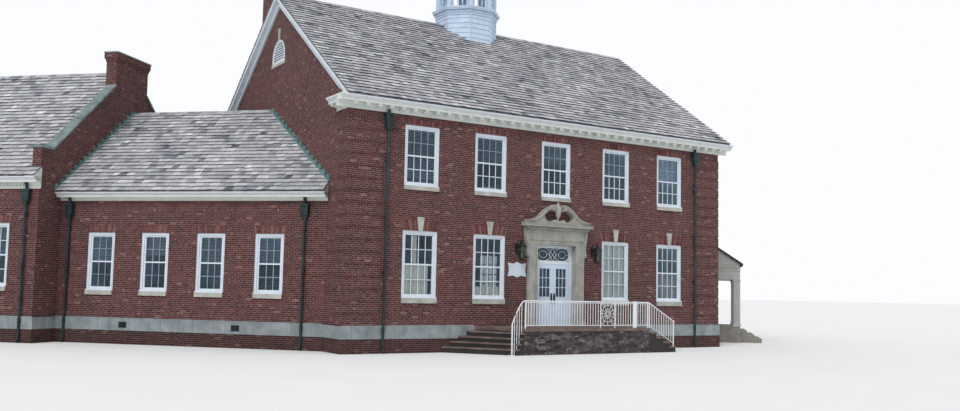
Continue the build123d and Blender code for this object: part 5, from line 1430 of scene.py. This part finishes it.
# Plaque, left bare
plaqueSizes = {"x": -1.70, "z": 2.90, "half": 0.38, "tall": 0.22, "hollow": 0.045, "thick": 0.02,
               "step": 0.018, "stepOut": 0.026, "pinX": 0.3, "pin": 0.01, "pinOut": 0.031}


# Pointed corners, hollow sides, and a long edge that swells in the middle
def plaqueOutline(shrink):
    q = plaqueSizes
    half, tall, hollow = q["half"] - shrink, q["tall"] - shrink, q["hollow"]
    points = []
    for t in spread(0, math.pi, 24)[:-1]:
        swell = 0.5 - 1.5 * math.sin(t) ** 2 + 2.2 * math.sin(t) ** 8
        points.append(((half + hollow / 2) * (2 * t / math.pi - 1), -tall - hollow * swell))
    for t in spread(0, math.pi, 12)[:-1]:
        points.append((half + hollow * (0.5 - math.sin(t)), (tall + hollow / 2) * (2 * t / math.pi - 1)))
    return points + [(-x, -z) for x, z in points]


def buildPlaque(pile):
    q = plaqueSizes
    for shrink, o0, o1 in ((0.0, 0.0, q["thick"]), (q["step"], q["thick"], q["stepOut"])):
        pile.plate(doorway, placed(plaqueOutline(shrink), q["x"], q["z"]), o0, o1)
    for x in (-q["pinX"], q["pinX"]):
        pile.plate(doorway, circle(q["x"] + x, q["z"], q["pin"], 12), q["thick"], q["pinOut"])


plaque = Pile()
buildPlaque(plaque)
piece = plaque.make("shapedPlaque", "plaque_white", "plaque")
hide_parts("wall_plaque")


# Railing: replaces the plain one on the same lines
railSizes = {"out": 2.04, "end": 2.72, "high": 0.924, "foot": 0.09, "every": 0.115, "baluster": 0.0085,
             "rail": 0.02, "post": 0.02, "flightPost": 0.018, "star": (0.52, 1.17), "flat": (2.02, 2.2),
             "rings": ((0.055, 0.009), (0.13, 0.009), (0.26, 0.01))}
stepSizes = {"start": 2.78, "run": 0.32, "depth": 2.1, "lip": 0.03, "thick": 0.055, "proud": 0.03,
             "leftBack": 3.48, "leftSplay": 0.07}
sweepSizes = {"x0": -2.78, "x1": -3.25, "z1": 1.04, "power": 1.45, "ground": -2.95}
riser = floorLevel / 5


# Point in the railing's own plane
def onRail(x, z):
    return doorway.at(x, railSizes["out"], z)


def buildRailing(pile):
    q = railSizes
    out, end = q["out"], q["end"]
    top, low = floorLevel + q["high"], floorLevel + q["foot"]
    for z0, z1 in ((low, low + 0.022), (top - 0.055, top - 0.037)):
        pile.block(doorway, -end, end, out - 0.011, out + 0.011, z0, z1)
    pile.bar([onRail(-end, top), onRail(end, top)], q["rail"], 10)
    (star0, star1), (flat0, flat1) = q["star"], q["flat"]
    spots = spread(-end, end, round(2 * end / q["every"]))
    for x in spots[1:-1]:
        if not (star0 - 0.03 < x < star1 + 0.03 or flat0 < x < flat1):
            pile.post(doorway, x, out, q["baluster"], low, top)
    for x in (-end, end):
        pile.post(doorway, x, out, q["post"], floorLevel, top)
    # wide flat post by the right end
    pile.block(doorway, flat0, flat1, out - 0.012, out + 0.012, floorLevel, top)
    pile.block(doorway, flat0 - 0.01, flat1 + 0.01, out - 0.018, out + 0.018, top, top + 0.03)


# Starburst panel: rings, rays and a curl in each corner
def starPanel(pile):
    q = railSizes
    x0, x1 = q["star"]
    top, low = floorLevel + q["high"], floorLevel + q["foot"]
    centre, middle = (x0 + x1) / 2, (low + top) / 2
    halfWide, halfHigh = (x1 - x0) / 2, (top - low) / 2 - 0.03
    for x in (x0, x1):
        pile.post(doorway, x, q["out"], 0.014, floorLevel, top)
    for radius, thick in q["rings"]:
        pile.bar(doorway.trace(circle(centre, middle, radius, 30, 1.15), q["out"]), thick, 6, closed=True)
    for k in range(12):
        c, s = math.cos(math.pi * k / 6), math.sin(math.pi * k / 6)
        reach = min(halfWide / max(abs(c), 1e-6), halfHigh / max(abs(s), 1e-6))
        ray = [onRail(centre + r * c, middle + r * s) for r in (q["rings"][0][0], reach)]
        pile.bar(ray, 0.0085, 6)
    curl = [(0.085 - 0.005 * k, 0.5 * k) for k in range(14)]
    for sx in (-1, 1):
        for sz in (-1, 1):
            pile.bar([onRail(centre + sx * (halfWide - 0.1 + r * math.cos(t)),
                             middle + sz * (halfHigh - 0.1 + r * math.sin(t))) for r, t in curl], 0.008, 6)


# Right flight: a straight rake down the steps
def rightRailing(pile):
    q, s = railSizes, stepSizes
    x0, x1 = s["start"] + 0.03, s["start"] + 4 * s["run"] - 0.06
    top, low = q["high"], q["foot"]

    def line(x, high):
        return floorLevel - (x - s["start"]) * riser / s["run"] + high

    pile.bar([onRail(q["end"], floorLevel + top), onRail(x0, line(x0, top)), onRail(x1, line(x1, top)),
              onRail(x1 + 0.06, line(x1, top) - 0.03)], q["rail"], 10)
    pile.bar([onRail(x, line(x, low + 0.01)) for x in (x0, x1)], 0.012, 4, 0.5)
    for x in spread(x0, x1, round((x1 - x0) / q["every"])):
        if x in (x0, x1):
            step = min(int((x - s["start"]) / s["run"]) + 1, 4)
            pile.post(doorway, x, q["out"], q["flightPost"], floorLevel - step * riser, line(x, top))
        else:
            pile.post(doorway, x, q["out"], q["baluster"], line(x, low), line(x, top))


# Left flight: the rail sweeps down and its last balusters stand on the ground
def leftRailing(pile):
    q, s = railSizes, sweepSizes
    z0 = floorLevel + q["high"]

    def sweep(share):
        return s["x0"] + (s["x1"] - s["x0"]) * share, z0 - (z0 - s["z1"]) * share ** s["power"]

    path = [onRail(-q["end"], z0)] + [onRail(*sweep(share)) for share in spread(0, 1, 12)]
    pile.bar(path + [onRail(s["x1"] - 0.01, s["z1"] - 0.08)], q["rail"], 10)
    for k in range(1, 6):
        x, z = sweep(k / 5)
        foot = 0.0 if x < s["ground"] else floorLevel - k * riser
        pile.post(doorway, x, q["out"], q["flightPost"] if k == 5 else q["baluster"], foot, z)
    pile.bar([onRail(-3.0, 0.16), onRail(s["x1"], 0.16)], 0.011, 4, 0.5)
    pile.block(doorway, s["x1"] - 0.12, s["x1"] + 0.04, q["out"] - 0.05, q["out"] + 0.05, 0.0, 0.02)


railing = Pile()
buildRailing(railing)
starPanel(railing)
rightRailing(railing)
leftRailing(railing)
piece = railing.make("whiteRailing", "white_iron", "iron")
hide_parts("railings")


# Stone treads over the dark risers; the left flight is splayed
def layTreads(pile):
    s = stepSizes
    front, lip = s["depth"] + s["lip"], s["lip"]
    for k in range(4):
        z1 = floorLevel - (k + 1) * riser + s["proud"]
        z0 = z1 - s["thick"]
        x0 = s["start"] + k * s["run"]
        pile.block(doorway, x0 + 0.002, x0 + s["run"] + lip, 0.05, front, z0, z1)
        back, fore = -s["leftBack"] - k * s["run"], -s["start"] - k * s["leftSplay"]
        outline = [(back - 0.002, 0.05), (fore - 0.002, front), (fore - s["leftSplay"] - lip, front),
                   (back - s["run"] - lip, 0.05)]
        pile.between(doorway.level(outline, z1), doorway.level(outline, z0))


treads = Pile()
layTreads(treads)
treads.make("stoneTreads", "step_stone", "step")
print("railing, lanterns and steps done")


# Side porch: pier caps, bases and flutes, beam mouldings, roof seams and the side door's panels
porchSizes = {"near": 3.0, "far": 6.6, "out": 2.09, "pier": 0.28, "low": 0.712, "high": 2.84,
              "rings": ((0.712, 0.832, 0.03), (0.832, 0.872, 0.015), (2.74, 2.79, 0.018),
                        (2.79, 2.84, 0.035)),
              "flute": 0.03, "fluteEvery": 0.065, "fluteProud": 0.008,
              "beams": ((3.02, 3.05, 0.012), (3.24, 3.28, 0.02), (3.4, 3.46, 0.045)),
              "roofTop": 5.05, "roofFoot": 3.57, "edge": 2.21, "seam": 0.014,
              "panels": ((1.05, 1.62), (1.75, 2.35), (2.45, 2.98)), "panelX": (0.05, 0.4),
              "knobX": 0.44,
              "knob": [(0.001, 1.82), (0.022, 1.83), (0.03, 1.85), (0.022, 1.87), (0.001, 1.88)]}


def dressPorch(pile, metal, door):
    p = porchSizes
    face = rightWing.front
    near, far, out, pier = p["near"], p["far"], p["out"], p["pier"]
    low, high = p["low"] + 0.2, p["high"] - 0.16
    for x in (near, far - pier):
        for z0, z1, grow in p["rings"]:
            pile.block(face, x - grow, x + pier + grow, out - pier - grow, out + grow, z0, z1)
        for k in range(3):
            a = 0.06 + k * p["fluteEvery"]
            b = a + p["flute"]
            pile.block(face, x + a, x + b, out, out + p["fluteProud"], low, high)
            for edge, past in ((x, x - p["fluteProud"]), (x + pier, x + pier + p["fluteProud"])):
                pile.block(face, edge, past, out - pier + a, out - pier + b, low, high)
    for z0, z1, grow in p["beams"]:
        pile.block(face, near - grow, far + grow, out - 0.02, out + grow, z0, z1)
        for edge, past in ((near, near - grow), (far, far + grow)):
            pile.block(face, edge, past, 0.0, out + grow, z0, z1)
    for x in spread(near - 0.12, far + 0.12, 8):
        metal.bar([face.at(x, 0.0, p["roofTop"]), face.at(x, p["edge"], p["roofFoot"])], p["seam"], 4, 0.5)
    metal.block(face, near - 0.13, far + 0.13, p["edge"] - 0.005, p["edge"] + 0.012, 3.475, 3.575)
    centre = (near + far) / 2
    a, b = p["panelX"]
    for z0, z1 in p["panels"]:
        for x0, x1 in ((centre - b, centre - a), (centre + a, centre + b)):
            raised, flat = panelOutline(x0, x1, z0, z1, 0.05), panelOutline(x0, x1, z0, z1)
            door.between(face.trace(raised, -0.068), face.trace(flat, -0.08))
    door.turned(face.at(centre + p["knobX"], -0.045, 0), p["knob"], 14, closed=False, finish=1)


porch, seams, sideDoor = Pile(), Pile(), Pile()
dressPorch(porch, seams, sideDoor)
porch.make("porchMouldings", "white_paint", "porchWhite")
seams.make("porchSeams", "copper", "bronze")
sideDoor.make("sideDoorPanels", "door_paint", "doorWhite", "hardware")


# Water table: a sloped wash over the stone band, broken at the steps and the porch
bandSizes = {"wash": [(0.0, 0.03), (0.052, 0.004), (0.058, -0.012), (0.0, -0.012)],
             "runs": ((mainBlock.front, mainBlock.x0, -3.49, (1, 0)),
                      (mainBlock.front, 2.79, mainBlock.x1, (0, 1)),
                      (mainBlock.back, mainBlock.x0, mainBlock.x1, (1, 1)),
                      (leftWing.front, leftWing.x0, -0.06, (0, 0)),
                      (rightWing.front, 0.06, 3.0, (0, 0)), (rightWing.front, 6.6, rightWing.x1, (0, 1)),
                      (rightWing.rightEnd, 0, rightWing.depth, (1, 1)),
                      (endBlock.front, endBlock.x0, endBlock.x1, (1, 1)),
                      (endBlock.back, endBlock.x0, endBlock.x1, (1, 1)),
                      (endBlock.leftEnd, -endBlock.depth, 0, (1, 1)))}
band = Pile()
for face, x0, x1, mitres in bandSizes["runs"]:
    band.run(face, placed(bandSizes["wash"], 0, floorLevel), x0, x1, *mitres)
band.make("bandWash", "limestone", "limestone")


# Vent grilles in the left wing's base
grilleSizes = {"x": (-3.2, -7.5), "bars": 7, "every": 0.042, "bar": 0.02, "low": 0.58, "high": 0.76}
grilles = Pile()
for x in grilleSizes["x"]:
    g = grilleSizes
    for k in range(g["bars"]):
        left = x - 0.14 + k * g["every"]
        grilles.block(leftWing.front, left, left + g["bar"], 0.05, 0.062, g["low"], g["high"])
    for z in (g["low"] - 0.005, g["high"] - 0.005):
        grilles.block(leftWing.front, x - 0.16, x + 0.16, 0.05, 0.066, z, z + g["bar"])
    grilles.block(leftWing.front, x - 0.15, x + 0.15, 0.045, 0.053, g["low"], g["high"])
grilles.make("baseGrilles", "dark_bronze", "lantern")
print("porch, band and grilles done")


# Floor, light and camera
studioLooks = {"floorHalf": 400.0, "floorZ": -0.002, "floor": ((0.80, 0.80, 0.79, 1), (0.84, 0.84, 0.83, 1)),
               "shown": (0.97, 0.98, 1.0, 1), "sky": (0.93, 0.96, 1.0, 1), "skyStrength": 0.72,
               "suns": {"keySun": (1.5, 28, (48, 0, -52)), "fillSun": (0.35, 60, (58, 0, 60))}}
cameraLooks = {"place": (-21.21, -28.39, 2.17), "yaw": 32.21, "pitch": 4.77, "roll": 1.19, "lens": 35.75,
               "shiftY": 0.0044, "sensor": 36, "farthest": 400}


def paleFloor():
    s = studioLooks
    half, z = s["floorHalf"], s["floorZ"]
    mesh = bpy.data.meshes.new("studioFloor")
    corners = [(-half, -half, z), (half, -half, z), (half, half, z), (-half, half, z)]
    mesh.from_pydata(corners, [], [(0, 1, 2, 3)])
    floor = bpy.data.objects.new("studioFloor", mesh)
    bpy.context.scene.collection.objects.link(floor)
    r = Recipe("studioFloor")
    mesh.materials.append(r.done(r.mix(r.noise(0.4, 3), *s["floor"]), 0.9, specular=0.1))


# White behind the building and in the panes, and a dimmer sky to light it
def studioWorld():
    world = bpy.data.worlds.new("studioSky")
    world.use_nodes = True
    tree = world.node_tree
    tree.nodes.clear()
    rays = tree.nodes.new("ShaderNodeLightPath")
    seen = rays.outputs["Is Camera Ray"]
    for kind in ("Is Transmission Ray", "Is Glossy Ray"):
        either = tree.nodes.new("ShaderNodeMath")
        either.operation = "MAXIMUM"
        tree.links.new(seen, either.inputs[0])
        tree.links.new(rays.outputs[kind], either.inputs[1])
        seen = either.outputs[0]
    both = tree.nodes.new("ShaderNodeMixShader")
    tree.links.new(seen, both.inputs[0])
    for slot, (colour, strength) in enumerate(((studioLooks["sky"], studioLooks["skyStrength"]),
                                               (studioLooks["shown"], 1.0)), 1):
        light = tree.nodes.new("ShaderNodeBackground")
        light.inputs["Color"].default_value = colour
        light.inputs["Strength"].default_value = strength
        tree.links.new(light.outputs[0], both.inputs[slot])
    tree.links.new(both.outputs[0], tree.nodes.new("ShaderNodeOutputWorld").inputs["Surface"])
    bpy.context.scene.world = world


def sunLamp(name, strength, soft, turn):
    lamp = bpy.data.lights.new(name, "SUN")
    lamp.energy = strength
    lamp.angle = math.radians(soft)
    holder = bpy.data.objects.new(name, lamp)
    holder.rotation_euler = [math.radians(a) for a in turn]
    bpy.context.scene.collection.objects.link(holder)


def setCamera():
    c = cameraLooks
    yaw, pitch, roll = (math.radians(c[key]) for key in ("yaw", "pitch", "roll"))
    forward = Vector((math.sin(yaw) * math.cos(pitch), math.cos(yaw) * math.cos(pitch), math.sin(pitch)))
    level = Vector((math.cos(yaw), -math.sin(yaw), 0))
    above = level.cross(forward)
    right = level * math.cos(roll) + above * math.sin(roll)
    upward = above * math.cos(roll) - level * math.sin(roll)
    lens = bpy.data.cameras.new("streetCamera")
    lens.lens = c["lens"]
    lens.sensor_width = c["sensor"]
    lens.sensor_fit = "HORIZONTAL"
    lens.shift_y = c["shiftY"]
    lens.clip_end = c["farthest"]
    holder = bpy.data.objects.new("streetCamera", lens)
    columns = Matrix((right, upward, -forward)).transposed().to_4x4()
    holder.matrix_world = Matrix.Translation(Vector(c["place"])) @ columns
    bpy.context.scene.collection.objects.link(holder)
    bpy.context.scene.camera = holder


paleFloor()
studioWorld()
for name, sun in studioLooks["suns"].items():
    sunLamp(name, *sun)
setCamera()
bpy.context.scene.view_settings.view_transform = "Standard"
bpy.context.view_layer.update()
